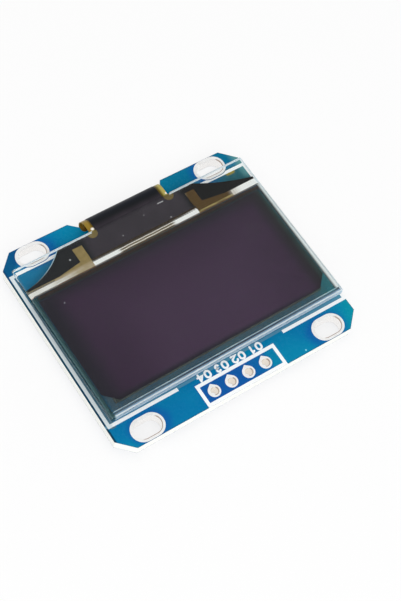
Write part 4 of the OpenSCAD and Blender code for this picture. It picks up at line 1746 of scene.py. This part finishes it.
@dataclass(frozen=True)
class Viewpoint:
    """The camera: a point it aims at, its direction, distance and roll."""

    aim: tuple[float, float, float] = (1.466, -2.421, 1.6)
    azimuth_deg: float = -46.382
    elevation_deg: float = 60.706
    distance: float = 167.891
    roll_deg: float = 14.758
    lens: float = 80.295
    sensor: float = 36.0
    clip: Span = (10.0, 10000.0)

    def make(self) -> None:
        """Makes the camera and sets it as the scene's own."""
        a, e, roll = map(math.radians, (self.azimuth_deg, self.elevation_deg, self.roll_deg))
        back = Vector((math.sin(a) * math.cos(e), -math.cos(a) * math.cos(e), math.sin(e)))
        level = (-back).cross(Vector((0, 0, 1))).normalized()
        rise = level.cross(-back)
        right = math.cos(roll) * level + math.sin(roll) * rise
        up = math.cos(roll) * rise - math.sin(roll) * level
        data = bpy.data.cameras.new("camera")
        data.lens, data.sensor_width = self.lens, self.sensor
        data.clip_start, data.clip_end = self.clip[0] * MM, self.clip[1] * MM
        camera = bpy.data.objects.new("camera", data)
        turn = Matrix((right, up, back)).transposed().to_4x4()
        camera.matrix_world = Matrix.Translation((Vector(self.aim) + back * self.distance) * MM) @ turn
        bpy.context.scene.collection.objects.link(camera)
        bpy.context.scene.camera = camera


@dataclass(frozen=True)
class SoftStudio:
    """A pale floor, a white surround and one wide soft lamp."""

    surround: float = 0.72
    overhead: float = 0.06
    lamp_power: float = 1.1
    lamp_size: float = 400.0
    lamp_at: tuple[float, float, float] = (-140.0, -300.0, 360.0)
    floor_half: float = 1500.0
    floor_colour: Colour = (0.92, 0.92, 0.92)
    floor_lift: float = 0.8
    floor_gap: float = 0.01

    def world(self) -> None:
        """White where it is seen, and the surround's strength where it lights.

        A mirror sees it white at the horizon and darker straight above, as
        in a tent with an open top.
        """
        g = Graph(bpy.data.worlds.new("surround"))
        up = g.node("SeparateXYZ", g.node("TexCoord", out="Generated"), out=2).most(0.0)
        white = g.ray("Glossy").between(1.0, up.between(1.0, self.overhead))
        strength = g.seen().between(self.surround, white)
        light = g.node("Background", Color=WHITE, Strength=strength)
        bpy.context.scene.world = g.finish(light, "OutputWorld")

    def lamp(self) -> None:
        """One wide lamp high up in front of the display, aimed at the board."""
        data = bpy.data.lights.new("soft_lamp", "AREA")
        data.shape = "DISK"
        data.size = self.lamp_size * MM
        data.energy = self.lamp_power
        lamp = bpy.data.objects.new("soft_lamp", data)
        lamp.location = Vector(self.lamp_at) * MM
        lamp.rotation_mode = "QUATERNION"
        lamp.rotation_quaternion = (-Vector(self.lamp_at)).to_track_quat("-Z", "Y")
        bpy.context.scene.collection.objects.link(lamp)

    def floor(self) -> None:
        """A wide pale floor, a hair below the module's lowest part."""
        g = Graph(bpy.data.materials.new("pale_floor"))
        dimmer = tuple(c * (1 - self.floor_lift) for c in self.floor_colour)
        glow = g.node("Emission", Color=WHITE, Strength=self.floor_lift)
        lifted_floor = g.node("AddShader", g.node("BsdfDiffuse", Color=dimmer), glow)
        plain = g.node("BsdfDiffuse", Color=self.floor_colour)
        material = g.finish(g.mix(g.seen(), plain, lifted_floor))
        z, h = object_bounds()[0].z - self.floor_gap * MM, self.floor_half * MM
        mesh = bpy.data.meshes.new("floor")
        mesh.from_pydata([(-h, -h, z), (h, -h, z), (h, h, z), (-h, h, z)], [], [(0, 1, 2, 3)])
        mesh.materials.append(material)
        floor = bpy.data.objects.new("floor", mesh)
        bpy.context.scene.collection.objects.link(floor)
        floor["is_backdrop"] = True

    def make(self) -> None:
        """Builds the stage and sets the plain view transform."""
        self.world()
        self.lamp()
        self.floor()
        bpy.context.scene.view_settings.view_transform = "Standard"


def main() -> None:
    """Builds the stage, dresses the frame and adds the finished pieces."""
    logging.basicConfig(level=logging.INFO, format="%(name)s %(message)s")
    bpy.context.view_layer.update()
    Viewpoint().make()
    SoftStudio().make()
    finishes = Finishes()
    finishes.dress(frame["record"], frame["nodes"])
    panel = PanelFrame()
    GlassPanel(panel, finishes).make()
    BackTraces().make()
    PinNumbers(finishes).make()


if __name__ == "__main__":
    main()
